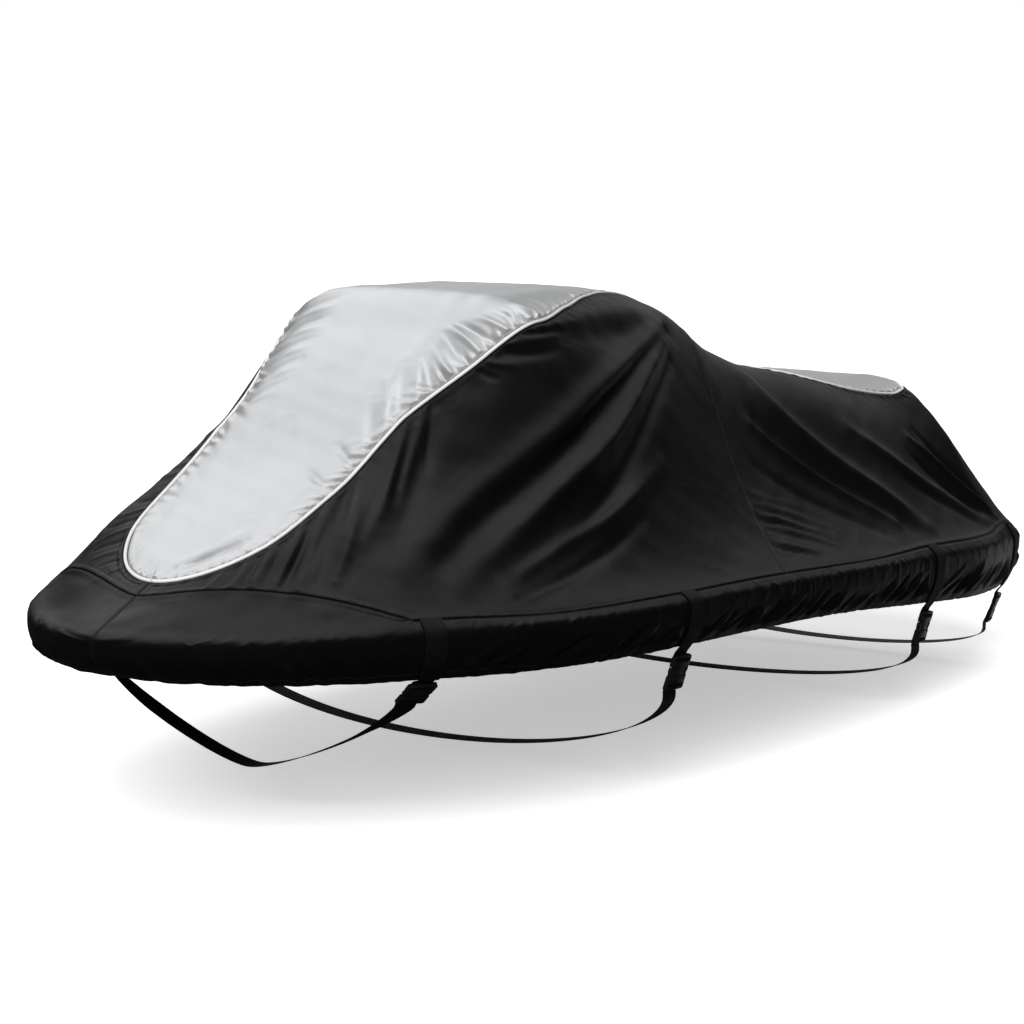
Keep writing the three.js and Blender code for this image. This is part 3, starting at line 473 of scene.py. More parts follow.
def path_through(path, steps=10):
    """Smooth curve through several places, even from place to place."""
    path = np.array(path, float)
    at = np.linspace(0, len(path) - 1, steps + 1)
    i = np.minimum(at.astype(int), len(path) - 2)
    t = (at - i)[:, None]
    before, here, after, beyond = (path[np.clip(i + k, 0, len(path) - 1)] for k in (-1, 0, 1, 2))
    lead, trail = (after - before) / 2, (beyond - here) / 2
    return (here + lead * t + (3 * (after - here) - 2 * lead - trail) * t ** 2
            + (2 * (here - after) + lead + trail) * t ** 3)


def flank_line(side, path, width, rise, fan=0):
    """A fold of one flank: its line on the cloth, with its width, rise and fan."""
    places = arc_through(*path) if len(path) == 3 else path_through(path)
    return flank_point(places[:, 0], places[:, 1], side), width, rise, fan


def top_line(path, width, rise):
    """A crease of the silver panel, given in plan."""
    places = arc_through(*path)
    return taut(places[:, 0], places[:, 1]), width, rise, 0


FOLD_LINES = [flank_line(side, *row) for side, rows in FOLDS.items() for row in rows]
CREASE_LINES = [flank_line(side, *row) for side, rows in CREASES.items() for row in rows]
TOP_LINES = [top_line(*row) for row in SILVER_CREASES]


def lift_of(lines, points):
    """How far folds lift the cloth at each point, fading towards both ends of each fold."""
    flat = points.reshape(-1, 3)
    lift = np.zeros(len(flat))
    for line, width, rise, fan in lines:
        reach = 3 * width
        inside = (flat > line.min(0) - reach) & (flat < line.max(0) + reach)
        near = np.nonzero(inside.all(axis=1))[0]
        if len(near) == 0:
            continue
        here = flat[near]
        nearest = np.full(len(here), np.inf)
        place = np.zeros(len(here))
        count = len(line) - 1
        for i in range(count):
            way = line[i + 1] - line[i]
            t = np.clip((here - line[i]) @ way / (way @ way), 0, 1)
            distance = np.linalg.norm(here - line[i] - t[:, None] * way, axis=1)
            closer = distance < nearest
            nearest = np.where(closer, distance, nearest)
            place = np.where(closer, (i + t) / count, place)
        strength = np.sin(np.pi * np.clip(place, 0.04, 0.96)) ** 0.4
        spread_out = width * (1 - fan * (1 - place))
        lift[near] += rise * strength * np.exp(-((nearest / spread_out) ** 2))
    return lift.reshape(points.shape[:-1])


def rail_fade(x, y):
    """Folds die out towards the rail."""
    return smooth((np.minimum(half_width(x) - np.abs(y), LENGTH - x) - ROLL) / 45)


def cloth(x, y):
    """Cloth with its main folds."""
    points = taut(x, y)
    lift = lift_of(FOLD_LINES, points) * rail_fade(x, y)
    return points + taut_normal(x, y) * lift[..., None]


# The rail and the band

CORNER_START = LENGTH - CORNER
CORNER_END = LENGTH + CORNER
STERN_HALF = float(half_width(LENGTH))
STERN_END = CORNER_END + STERN_HALF - CORNER
CORNER_MIDDLE = (CORNER_START + CORNER_END) / 2


def rail_point(s):
    """The rail in plan: aft along one side, round the corner, then inboard along the stern."""
    s = np.asarray(s, float)
    straight = np.stack([np.abs(s), np.sign(s + 1e-9) * half_width(np.abs(s))], axis=-1)
    stern = np.stack([np.full_like(s, LENGTH), STERN_HALF - CORNER - (s - CORNER_END)], axis=-1)
    t = ((s - CORNER_START) / (2 * CORNER))[..., None]
    first = np.array([CORNER_START, float(half_width(CORNER_START))])
    corner = np.array([LENGTH, STERN_HALF])
    last = np.array([LENGTH, STERN_HALF - CORNER])
    turn = first * (1 - t) ** 2 + 2 * corner * t * (1 - t) + last * t * t
    bent = np.where((s >= CORNER_END)[..., None], stern, turn)
    return np.where((s <= CORNER_START)[..., None], straight, bent)


def rail_out(s, step=0.5):
    """Plan direction that points away from the craft."""
    way = unit(rail_point(np.asarray(s) + step) - rail_point(np.asarray(s) - step))
    return np.stack([-way[..., 1], way[..., 0]], axis=-1)


def band_seam(s, inset=ROLL):
    """Seam between the top cloth and the band, inboard of the rail."""
    return rail_point(s) - inset * rail_out(s)


def band(side, s, v):
    """Band at s along the rail: v is 0 to 1 over the roll and 1 to 2 down the skirt."""
    here, out = rail_point(s), rail_out(s)
    start = here - ROLL * out
    inner = taut_height(*np.moveaxis(start - out, -1, 0))
    outer = taut_height(*np.moveaxis(start + out, -1, 0))
    top = taut_height(*np.moveaxis(start, -1, 0))
    rail = top + np.clip((outer - inner) / 2, -ROLL_PITCH, 0) * ROLL
    roll = np.clip(v, 0, 1)
    fall = np.clip(v - 1, 0, 1)
    first, second, third = (1 - roll) ** 2, 2 * RAIL_EDGE * roll * (1 - roll), roll * roll
    total = first + second + third
    reach = -(ROLL * first + third) / total - skirt_tuck(here[..., 0]) * fall * fall
    over = (top * first + rail * second + (rail - ROLL) * third) / total
    z = over - (skirt_depth(here[..., 0]) - ROLL) * fall
    return np.stack([here[..., 0] + reach * out[..., 0],
                     side * (here[..., 1] + reach * out[..., 1]), z], axis=-1)


def band_normal(side, s, v):
    down = band(side, s, np.minimum(v + 0.02, 2)) - band(side, s, np.maximum(v - 0.02, 0))
    along = band(side, s + 0.5, v) - band(side, s - 0.5, v)
    return unit(np.cross(down, along)) * -side


# Seam lines in plan

def silver_place(q):
    """Silver edge in plan, by place: 0 to 1 round the nose, 1 to 2 aft, 2 to 3 round the tail."""
    q = np.asarray(q, float)
    nose = np.clip(q, 0, 1) * math.pi / 2
    tail = np.clip(q - 2, 0, 1) * math.pi / 2
    front = NOSE_X + NOSE_LENGTH * (1 - np.cos(nose))
    middle = NOSE_X + NOSE_LENGTH + np.clip(q - 1, 0, 1) * (TAIL_X - NOSE_X - NOSE_LENGTH)
    x = np.where(q < 1, front, middle) + TAIL_LENGTH * np.sin(tail)
    half = silver_half(x) * np.sin(nose) * np.cos(tail)
    return np.stack([x, half], axis=-1)


def silver_line(q, offset):
    """The silver edge moved along the cloth, out from the silver, at places q."""
    q = np.asarray(q, float)
    way = unit(silver_place(q + 0.004) - silver_place(q - 0.004))
    out = np.stack([-way[..., 1], way[..., 0]], axis=-1)
    out = np.where((q <= 0.002)[..., None], [-1.0, 0.0], out)
    out = np.where((q >= 2.998)[..., None], [1.0, 0.0], out)
    here = silver_place(q)
    x, y = here[..., 0], here[..., 1]
    level = taut_height(x, y)
    climb = taut_height(x + out[..., 0], y + out[..., 1]) - level
    pitch = taut_height(x + out[..., 1], y - out[..., 0]) - level
    shift = offset * np.hypot(1, pitch) / np.sqrt(1 + climb ** 2 + pitch ** 2)
    return here + shift[..., None] * out


APRON_FOOT = band_seam(FORE_JOINT)
SEAM_FOOT = band_seam(MIDDLE_FOOT)


def apron_seam(t):
    t = np.asarray(t, float)
    return np.stack([APRON_X + (APRON_FOOT[0] - APRON_X) * t ** APRON_LAG, APRON_FOOT[1] * t], -1)


def middle_seam(t):
    t = np.asarray(t, float)
    return np.stack([MIDDLE_X + (SEAM_FOOT[0] - MIDDLE_X) * t ** MIDDLE_LAG, SEAM_FOOT[1] * t], -1)


def seam_edge(seam, t, offset):
    """A seam moved square to itself in plan, aft above zero."""
    way = unit(seam(t + 0.01) - seam(np.maximum(t - 0.01, 0)))
    line = seam(t) + offset * np.stack([way[..., 1], -way[..., 0]], axis=-1)
    return np.stack([line[..., 0], np.maximum(line[..., 1], 0)], axis=-1)


SEAM_SHARE = next(t for t in np.arange(0, 1, 0.0005)
                  if middle_seam(t)[1] >= silver_half(middle_seam(t)[0]))
MIDDLE_TOP = float(middle_seam(SEAM_SHARE)[0])
MIDDLE_PLACE = 1 + (MIDDLE_TOP - NOSE_X - NOSE_LENGTH) / (TAIL_X - NOSE_X - NOSE_LENGTH)
STERN_PLACE = 2 + STERN_TURN / 90


# Sheets: grids of places that run along a seam (rows) and away from it (columns)

def steps(count, ends=EDGE_STEPS):
    """Shares from 0 to 1 that crowd towards both ends, for a stretch of a given length."""
    def shares(length):
        length = np.maximum(np.asarray(length, float), 0.5)[..., None]
        near = np.minimum(np.array(ends), length * np.linspace(0.02, 0.25, len(ends)))
        inner = near[..., -1:]
        middle = inner + (length - 2 * inner) * np.linspace(0, 1, count + 1)[1:-1]
        lead = np.zeros_like(length)
        return np.concatenate([lead, near, middle, length - near[..., ::-1], length + lead],
                              axis=-1) / length
    return shares


def run_of(points, axis):
    """Distance along a grid, from its first row or column."""
    gap = np.linalg.norm(np.diff(points, axis=axis), axis=-1)
    start = np.zeros_like(np.take(gap, [0], axis=axis))
    return np.cumsum(np.concatenate([start, gap], axis=axis), axis=axis)


def spread(line, shares, side):
    """Points on the cloth that divide each row's line by the given shares of its length."""
    rows = line(np.zeros((1, 1))).shape[0]
    fine = np.tile(np.linspace(0, 1, 61), (rows, 1))
    plan = line(fine)
    run = run_of(cloth(plan[..., 0], side * plan[..., 1]), 1)
    wanted = shares(run[:, -1]) * run[:, -1:]
    t = np.stack([np.interp(wanted[i], run[i], fine[i]) for i in range(rows)])
    plan = line(t)
    x, y = plan[..., 0], side * plan[..., 1]
    return cloth(x, y), taut_normal(x, y), plan * [1, side]


def between(inner, outer, start=None, end=None):
    """Lines in plan from one seam to another, bent like the two seams that close the sheet."""
    share = np.linspace(0, 1, len(inner))[:, None, None]

    def bend(seam, t):
        if seam is None:
            return 0
        ends = np.array([[0.0, 1.0]])
        first, last = seam(ends)[0]
        return seam(t) - first - (last - first) * t[..., None]

    def line(t):
        t = np.broadcast_to(t, (len(inner), t.shape[1]))
        straight = inner[:, None] + (outer - inner)[:, None] * t[..., None]
        return straight + bend(start, t) * (1 - share) + bend(end, t) * share
    return line


def strokes(along, away, rows, seed):
    """Small tapered wrinkles that start at a seam and lean along it."""
    draw = random.Random(seed)
    lift = np.zeros_like(along)
    for row in rows:
        place = row["start"]
        sign = 1
        while place < row["end"]:
            reach = row["reach"] * draw.uniform(0.5, 1.35)
            width = row["width"] * draw.uniform(0.7, 1.4)
            rise = sign * row["rise"] * draw.uniform(0.4, 1.3)
            lean = row["lean"] + draw.uniform(-0.35, 0.35)
            share = away / reach
            offset = (along - place - lean * away) / (width * (1 + 0.7 * share))
            fade = np.clip(1 - share, 0, 1) ** 1.3 * smooth(away / 7)
            lift += rise * fade * np.exp(-offset * offset)
            place += row["pitch"] * draw.uniform(0.55, 1.3)
            sign = -sign
    return lift


def seam_form(away, fell=0.0):
    """Cloth turned down into a seam, with a raised fold of seam allowance beside it."""
    tuck = -TUCK * (1 - smooth(away / 3.2))
    allowance = fell * smooth((away - 0.5) / 2.5) * (1 - smooth((away - 10) / 3))
    return tuck + allowance


def ripple(points, size, height, seed):
    """Slow unevenness of cloth, as a few crossing waves."""
    draw = random.Random(seed)
    total = np.zeros(points.shape[:-1])
    for _ in range(7):
        way = np.array([draw.gauss(0, 1) for _ in range(3)])
        way *= 2 * math.pi / (size * draw.uniform(0.7, 1.6) * np.linalg.norm(way))
        total += np.sin(points @ way + draw.uniform(0, 6.3))
    return height * total / 2.6


# Making meshes and pieces

def piece(name, mesh, material, replaces=()):
    """A mesh as a piece of the cover, with the nodes that it stands for."""
    obj = bpy.data.objects.new(name, mesh)
    bpy.context.scene.collection.objects.link(obj)
    mesh.materials.clear()
    mesh.materials.append(material)
    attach(obj, "root")
    if replaces:
        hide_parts(*replaces)
    return obj


def shade(mesh):
    mesh.polygons.foreach_set("use_smooth", [True] * len(mesh.polygons))
    mesh.update()


def sheet_mesh(name, points, outward, along=None):
    """A bmesh grid set onto a grid of points in millimetres, with a UV map in metres."""
    rows, columns = points.shape[:2]
    bm = bmesh.new()
    bmesh.ops.create_grid(bm, x_segments=columns - 1, y_segments=rows - 1, size=1)
    mesh = bpy.data.meshes.new(name)
    bm.to_mesh(mesh)
    bm.free()
    mesh.vertices.foreach_set("co", metres(points).ravel())
    mesh.update()
    faces = len(mesh.polygons)
    facing = np.empty(faces * 3)
    mesh.polygons.foreach_get("normal", facing)
    first = np.empty(faces, dtype=np.int32)
    mesh.polygons.foreach_get("loop_start", first)
    loops = np.empty(len(mesh.loops), dtype=np.int32)
    mesh.loops.foreach_get("vertex_index", loops)
    wanted = outward.reshape(-1, 3)[loops[first]]
    if np.sum(facing.reshape(-1, 3) * wanted) < 0:
        mesh.flip_normals()
        mesh.loops.foreach_get("vertex_index", loops)
    down = run_of(points, 0) if along is None else along + np.zeros((rows, columns))
    over = run_of(points, 1)
    uv = np.stack([down, over - over[:, columns // 2, None]], axis=-1).reshape(-1, 2) / 1000
    layer = mesh.uv_layers.new(name="cloth")
    layer.data.foreach_set("uv", uv[loops].ravel().astype(np.float32))
    shade(mesh)
    return mesh


WELD = 0.00002


def weld(mesh):
    """Joins points that coincide, where a sheet closes on itself or ends in a point."""
    bm = bmesh.new()
    bm.from_mesh(mesh)
    bmesh.ops.remove_doubles(bm, verts=bm.verts, dist=WELD)
    bmesh.ops.dissolve_degenerate(bm, edges=bm.edges, dist=WELD)
    bm.to_mesh(mesh)
    bm.free()
    shade(mesh)
    return mesh


# Materials

class Socket:
    """A shader value that can be used in a sum."""

    def __init__(self, finish, socket):
        self.finish = finish
        self.socket = socket

    def maths(self, operation, *others):
        sockets = dict(enumerate((self,) + others))
        return self.finish.add("ShaderNodeMath", {"operation": operation}, sockets)

    def __add__(self, other):
        return self.maths("ADD", other)

    def __radd__(self, other):
        return self.maths("ADD", other)

    def __sub__(self, other):
        return self.maths("SUBTRACT", other)

    def __rsub__(self, other):
        return (self * -1) + other

    def __mul__(self, other):
        return self.maths("MULTIPLY", other)

    def __rmul__(self, other):
        return self.maths("MULTIPLY", other)

    def __pow__(self, other):
        return self.maths("POWER", other)

    def __abs__(self):
        return self.maths("ABSOLUTE")

    def wave(self, pitch):
        return (self * (2 * math.pi / pitch)).maths("SINE")

    def above(self, low, high):
        sockets = {0: self, 1: low, 2: high, 3: 0.0, 4: 1.0}
        settings = {"interpolation_type": "SMOOTHSTEP", "clamp": True}
        return self.finish.add("ShaderNodeMapRange", settings, sockets)


class Nodes:
    """A shader, built up node by node."""

    def __init__(self, tree):
        self.tree = tree
        tree.nodes.clear()

    def add(self, kind, settings=None, sockets=None, output=0):
        node = self.tree.nodes.new(kind)
        for name, value in (settings or {}).items():
            setattr(node, name, value)
        for name, value in (sockets or {}).items():
            if isinstance(value, Socket):
                self.tree.links.new(value.socket, node.inputs[name])
            else:
                node.inputs[name].default_value = value
        return Socket(self, node.outputs[output]) if len(node.outputs) else None

    def place(self, kind="Object"):
        return self.add("ShaderNodeTexCoord", output=kind)

    def parts(self, vector):
        names = ("X", "Y", "Z")
        return [self.add("ShaderNodeSeparateXYZ", None, {0: vector}, name) for name in names]

    def noise(self, scale, detail=3.0, roughness=0.5, stretch=(1, 1, 1), turn=(0, 0, 0)):
        sockets = {"Vector": self.place(), "Scale": stretch, "Rotation": turn}
        placed = self.add("ShaderNodeMapping", None, sockets)
        sockets = {"Vector": placed, "Scale": scale, "Detail": detail, "Roughness": roughness}
        return self.add("ShaderNodeTexNoise", None, sockets)

    def blend(self, share, first, second):
        settings = {"data_type": "RGBA"}
        return self.add("ShaderNodeMix", settings, {0: share, 6: first, 7: second}, 2)


class Finish(Nodes):
    """A procedural material."""

    def __init__(self, name):
        self.material = bpy.data.materials.new(name)
        self.material.use_nodes = True
        super().__init__(self.material.node_tree)

    def relief(self, height):
        """Bump from a height in millimetres."""
        sockets = {"Strength": 1.0, "Distance": 0.001, "Height": height}
        return self.add("ShaderNodeBump", None, sockets)

    def cover(self, colour, roughness, relief=None, metallic=0.0, specular=0.5, glow=0.0):
        sockets = {"Base Color": colour, "Roughness": roughness, "Metallic": metallic,
                   "Specular IOR Level": specular, "Emission Color": (1, 1, 1, 1),
                   "Emission Strength": glow}
        if relief is not None:
            sockets["Normal"] = relief
        shader = self.add("ShaderNodeBsdfPrincipled", None, sockets)
        self.add("ShaderNodeOutputMaterial", None, {"Surface": shader})
        return self.material


def grey(level, warmth=0.0):
    return (level * (1 + warmth), level, level * (1 - warmth), 1)


WEAVE = 0.0011
PIPING_WEAVE = 0.0009


def woven(finish, pitch):
    """Height of a plain weave over the cloth's own map."""
    along, across, _ = finish.parts(finish.place("UV"))
    return along.wave(pitch) * across.wave(pitch)


def crumple(finish, scale, turn):
    """Sharp little creases, as thin coated cloth keeps after being folded up."""
    soft = finish.noise(scale, 2.0, turn=turn)
    return 1 - abs(soft * 2 - 1)


def silver_cloth():
    finish = Finish("silver_cloth")
    weave = woven(finish, WEAVE)
    waves = finish.noise(14)
    folds = crumple(finish, 7, (0.4, 0.2, 0.9))
    fine = finish.noise(70, 3.0, 0.6)
    patches = finish.noise(3.2, 2.0)
    height = waves + folds ** 3 * 0.7 + fine * 0.22 + weave * 0.035
    colour = finish.blend(patches, grey(0.78, -0.014), grey(0.86, -0.014))
    shine = 0.32 + patches * 0.07 + weave * 0.03
    return finish.cover(colour, shine, finish.relief(height), metallic=0.76)


def black_cloth():
    finish = Finish("black_cloth")
    weave = woven(finish, WEAVE)
    waves = finish.noise(11)
    folds = crumple(finish, 6, (1.1, 0.3, 0.5))
    fine = finish.noise(60, 3.0, 0.6)
    dust = finish.noise(5, 4.0, 0.6)
    height = waves * 1.5 + folds ** 4 + fine * 0.25 + weave * 0.035
    colour = finish.blend(dust, grey(0.0018, 0.02), grey(0.003, 0.0))
    shine = 0.36 + dust * 0.12 + weave * 0.03
    return finish.cover(colour, shine, finish.relief(height))


def white_piping():
    finish = Finish("white_piping")
    weave = woven(finish, PIPING_WEAVE)
    soil = finish.noise(40, 4.0, 0.6)
    colour = finish.blend(soil, grey(0.84, 0.004), grey(0.72, 0.012))
    height = weave * 0.05 + soil * 0.15
    return finish.cover(colour, 0.45 + soil * 0.1, finish.relief(height))


def black_webbing():
    finish = Finish("black_webbing")
    along, across, _ = finish.parts(finish.place("UV"))
    rows = (across + along * 0.5).wave(0.0032)
    cords = across.wave(0.0024)
    wear = finish.noise(35, 4.0, 0.6)
    colour = finish.blend(wear, grey(0.003), grey(0.006, 0.01))
    height = rows * 0.12 + cords * 0.16 + wear * 0.1
    return finish.cover(colour, 0.55 + wear * 0.15, finish.relief(height))


def black_plastic():
    finish = Finish("black_plastic")
    grain = finish.noise(900, 2.0)
    wear = finish.noise(60, 4.0, 0.6)
    colour = finish.blend(wear, grey(0.006), grey(0.011))
    return finish.cover(colour, 0.3 + wear * 0.15, finish.relief(grain * 0.05))


def thread(name, level):
    finish = Finish(name)
    twist = finish.noise(500, 2.0, stretch=(1, 1, 0.4))
    colour = finish.blend(twist, grey(level * 0.8), grey(level * 1.2))
    return finish.cover(colour, 0.55 + twist * 0.15, finish.relief(twist * 0.1))


SILVER_CLOTH = silver_cloth()
BLACK_CLOTH = black_cloth()
WHITE_PIPING = white_piping()
BLACK_WEBBING = black_webbing()
BLACK_PLASTIC = black_plastic()
BLACK_THREAD = thread("black_thread", 0.02)
GREY_THREAD = thread("grey_thread", 0.45)


# Seams of stitches

class Thread:
    """Stitches in one thread, gathered up and made one mesh."""

    def __init__(self, name, material, slot, radius=0.55):
        self.name = name
        self.material = material
        self.slot = slot
        self.radius = radius
        self.parts = []

    def sew(self, line, normals, pitch=STITCH_PITCH, length=4.4, lift=0.25):
        """Stitches at even steps along a line that lies on the cloth."""
        gaps = np.linalg.norm(np.diff(line, axis=0), axis=1)
        run = np.concatenate([[0], np.cumsum(gaps)])
        count = int(run[-1] / pitch)
        if count < 1:
            return
        centres = (np.arange(count) + 0.5) * run[-1] / count

        def at(distance, values):
            return np.stack([np.interp(distance, run, values[:, k]) for k in range(3)], axis=-1)
        start = at(centres - length / 2, line)
        end = at(centres + length / 2, line)
        up = unit(at(centres, normals))
        way = unit(end - start)
        side = unit(np.cross(way, up))
        up = np.cross(side, way)
        middle = (start + end) / 2 + lift * up
        self.parts.append(np.stack([middle, way * length / 2, side * self.radius,
                                    up * self.radius], axis=1))

    def make(self):
        bm = bmesh.new()
        bmesh.ops.create_uvsphere(bm, u_segments=5, v_segments=3, radius=1)
        bmesh.ops.rotate(bm, verts=bm.verts, matrix=Matrix.Rotation(math.pi / 2, 3, "Y"))
        bm.verts.ensure_lookup_table()
        corners = np.array([vert.co[:] for vert in bm.verts])
        corners[:, 0] = np.clip(corners[:, 0] * 1.15, -1, 1)
        faces = [[vert.index for vert in face.verts] for face in bm.faces]
        bm.free()
        frames = np.concatenate(self.parts)
        points = frames[:, None, 0] + np.einsum("vk,nkc->nvc", corners, frames[:, 1:])
        count = len(corners)
        every = [[corner + count * i for corner in face]
                 for i in range(len(frames)) for face in faces]
        mesh = bpy.data.meshes.new(self.name)
        mesh.from_pydata(metres(points).reshape(-1, 3).tolist(), [], every)
        shade(mesh)
        return piece(self.name, mesh, self.material)


BLACK_STITCHES = Thread("stitches_black", BLACK_THREAD, "black_cloth")
GREY_STITCHES = Thread("stitches_silver", GREY_THREAD, "silver_cloth", 0.5)


def line_inside(points, normals, distance, edge):
    """Line that runs along one edge of a sheet, a given distance inside it."""
    if edge in ("first", "last"):
        points, normals = np.swapaxes(points, 0, 1), np.swapaxes(normals, 0, 1)
    if edge in ("last", "outer"):
        points, normals = points[:, ::-1], normals[:, ::-1]
    run = run_of(points, 1)
    keep = np.nonzero(run[:, -1] > 2 * distance)[0]
    line = np.array([[np.interp(distance, run[i], points[i, :, k]) for k in range(3)]
                     for i in keep])
    ups = np.array([[np.interp(distance, run[i], normals[i, :, k]) for k in range(3)]
                    for i in keep])
    return line, ups


def sew_edges(thread, points, normals, **insets):
    """Rows of stitches beside the named edges of a sheet, at their distances inside them."""
    for edge, distance in insets.items():
        thread.sew(*line_inside(points, normals, distance, edge))


def beside(points, line, reach=150):
    """Distance along a seam line and away from it, for points of a sheet."""
    flat = points.reshape(-1, 3)
    run = run_of(line[:, None], 0)[:, 0]
    way = unit(np.gradient(line, axis=0))
    along = np.zeros(len(flat))
    away = np.full(len(flat), 1e6)
    chunk = 4000
    near = np.nonzero(((flat > line.min(0) - reach) & (flat < line.max(0) + reach)).all(axis=1))[0]
    for start in range(0, len(near), chunk):
        some = near[start:start + chunk]
        offset = flat[some, None] - line[None]
        distance = np.einsum("ijk,ijk->ij", offset, offset)
        i = distance.argmin(axis=1)
        rest = offset[np.arange(len(some)), i]
        ahead = np.clip(np.sum(rest * way[i], axis=1), -8, 8)
        along[some] = run[i] + ahead
        away[some] = np.linalg.norm(rest - ahead[:, None] * way[i], axis=1)
    return along.reshape(points.shape[:-1]), away.reshape(points.shape[:-1])


def gathered(points, edges):
    """Gathers beside a sheet's edges, and each point's distance from the nearest edge."""
    lift = np.zeros(points.shape[:2])
    nearest = np.full(points.shape[:2], 1e6)
    for line, rows, seed in edges:
        along, away = beside(points, line)
        if rows:
            lift += strokes(along, away, rows, seed)
        nearest = np.minimum(nearest, away)
    return lift, nearest


# Silver top panel

def even_edge(offset, count):
    """Evenly spaced points in plan along the silver edge, moved out from the silver."""
    fine = np.linspace(0, 3, 1501)
    plan = silver_line(fine, offset)
    run = run_of(taut(plan[:, 0], plan[:, 1])[:, None], 0)[:, 0]
    plan = silver_line(np.interp(np.linspace(0, run[-1], count), run, fine), offset)
    plan[:, 1] = np.maximum(plan[:, 1], 0)
    return plan


def silver_top():
    plan = even_edge(-PIPING_GAP, SILVER_GRID[0])
    plan[[0, -1], 1] = 0
    line = between(plan * [1, -1], plan)
    points, normals, _ = spread(line, steps(SILVER_GRID[1]), 1)
    edges = [(points[:, 0], SILVER_GATHERS, 11), (points[:, -1], SILVER_GATHERS, 12)]
    total, nearest = gathered(points, edges)
    total += lift_of(TOP_LINES, points) * smooth(nearest / 9)
    total += ripple(points, 190, 1.6, 5) * smooth(nearest / 60)
    total += ripple(points, 70, 0.5, 6) * smooth(nearest / 40)
    total += seam_form(nearest, ALLOWANCE)
    final = points + normals * total[..., None]
    middle = run_of(points[:, points.shape[1] // 2, None], 0)
    mesh = weld(sheet_mesh("silver_top", final, normals, middle))
    panel = piece("silver_top", mesh, SILVER_CLOTH, ["silver_top_panel"])
    sew_edges(GREY_STITCHES, final, normals, inner=6.5, outer=6.5)
    return panel


# Black side panels

def row_count(length, spacing):
    """Rows of a grid that lie about a spacing apart."""
    return max(int(length / spacing), 2) + 1


def side_panel(name, node, side, inner, outer, start, end, gathers, seed, count):
    """Black panel between the silver edge and the band, with its gathers and seams."""
    line = between(inner, outer, start, end)
    points, normals, plan = spread(line, steps(count), side)
    x, y = plan[..., 0], plan[..., 1]
    creases = lift_of(CREASE_LINES, taut(x, y)) * rail_fade(x, y)
    lines = dict(inner=points[:, 0], outer=points[:, -1], first=points[0], last=points[-1])
    edges = [(lines[edge], rows, seed + i) for i, (edge, rows) in enumerate(gathers.items())]
    total, nearest = gathered(points, edges)
    total += creases * smooth(nearest / 14)
    total += ripple(points, 240, 1.6, seed + 20) * smooth(nearest / 70)
    total += ripple(points, 80, 0.5, seed + 21) * smooth(nearest / 45)
    total += seam_form(nearest, ALLOWANCE)
    final = points + normals * total[..., None]
    mesh = weld(sheet_mesh(name, final, normals))
    panel = piece(name, mesh, BLACK_CLOTH, [node])
    return panel, final, normals


def forward_panel(label, side):
    u = np.linspace(0, 30, FORWARD_GRID[0])
    inner = silver_line(np.interp(u, [0, 9, 30], [0, 1, MIDDLE_PLACE]), PIPING_GAP)
    inner[0, 1] = 0
    outer = seam_edge(apron_seam, np.clip(u / 10, 0, 1), -LAP)
    stations = [FORE_JOINT, WAIST_JOINT, MIDDLE_FOOT]
    rail = band_seam(np.interp(u, [10, 22, 30], stations), ROLL - LAP)
    outer = np.where((u > 10)[:, None], rail, outer)

    def end(t):
        return middle_seam(SEAM_SHARE + (1 - SEAM_SHARE) * t)
    gathers = dict(inner=FLANK_GATHERS, outer=FOOT_GATHERS, last=MIDDLE_GATHERS, first=())
    panel, final, normals = side_panel("forward_" + label, "forward_panel_" + label, side,
                                       inner, outer, None, end, gathers, 30 + side, FORWARD_GRID[1])
    sew_edges(BLACK_STITCHES, final, normals, inner=6, outer=6, last=3.4)
    sew_edges(BLACK_STITCHES, final, normals, last=9)
    return panel


def rear_panel(label, side):
    u = np.linspace(0, 19, REAR_GRID[0])
    inner = silver_line(np.interp(u, [0, 17, 19], [MIDDLE_PLACE, 2, STERN_PLACE]), PIPING_GAP)
    stations = [MIDDLE_FOOT, SEAT_JOINT, TAIL_JOINT, CORNER_MIDDLE]
    outer = band_seam(np.interp(u, [0, 8, 17, 19], stations), ROLL - LAP)
    inner[0, 0] -= LAP
    outer[0, 0] -= LAP

    def start(t):
        return seam_edge(middle_seam, SEAM_SHARE + (1 - SEAM_SHARE) * t, -LAP)
    gathers = dict(inner=REAR_GATHERS, outer=FOOT_GATHERS, first=MIDDLE_GATHERS, last=())
    panel, final, normals = side_panel("rear_" + label, "rear_panel_" + label, side,
                                       inner, outer, start, None, gathers, 60 + side, REAR_GRID[1])
    sew_edges(BLACK_STITCHES, final, normals, inner=6, outer=6, first=3.4, last=3.4)
    return panel


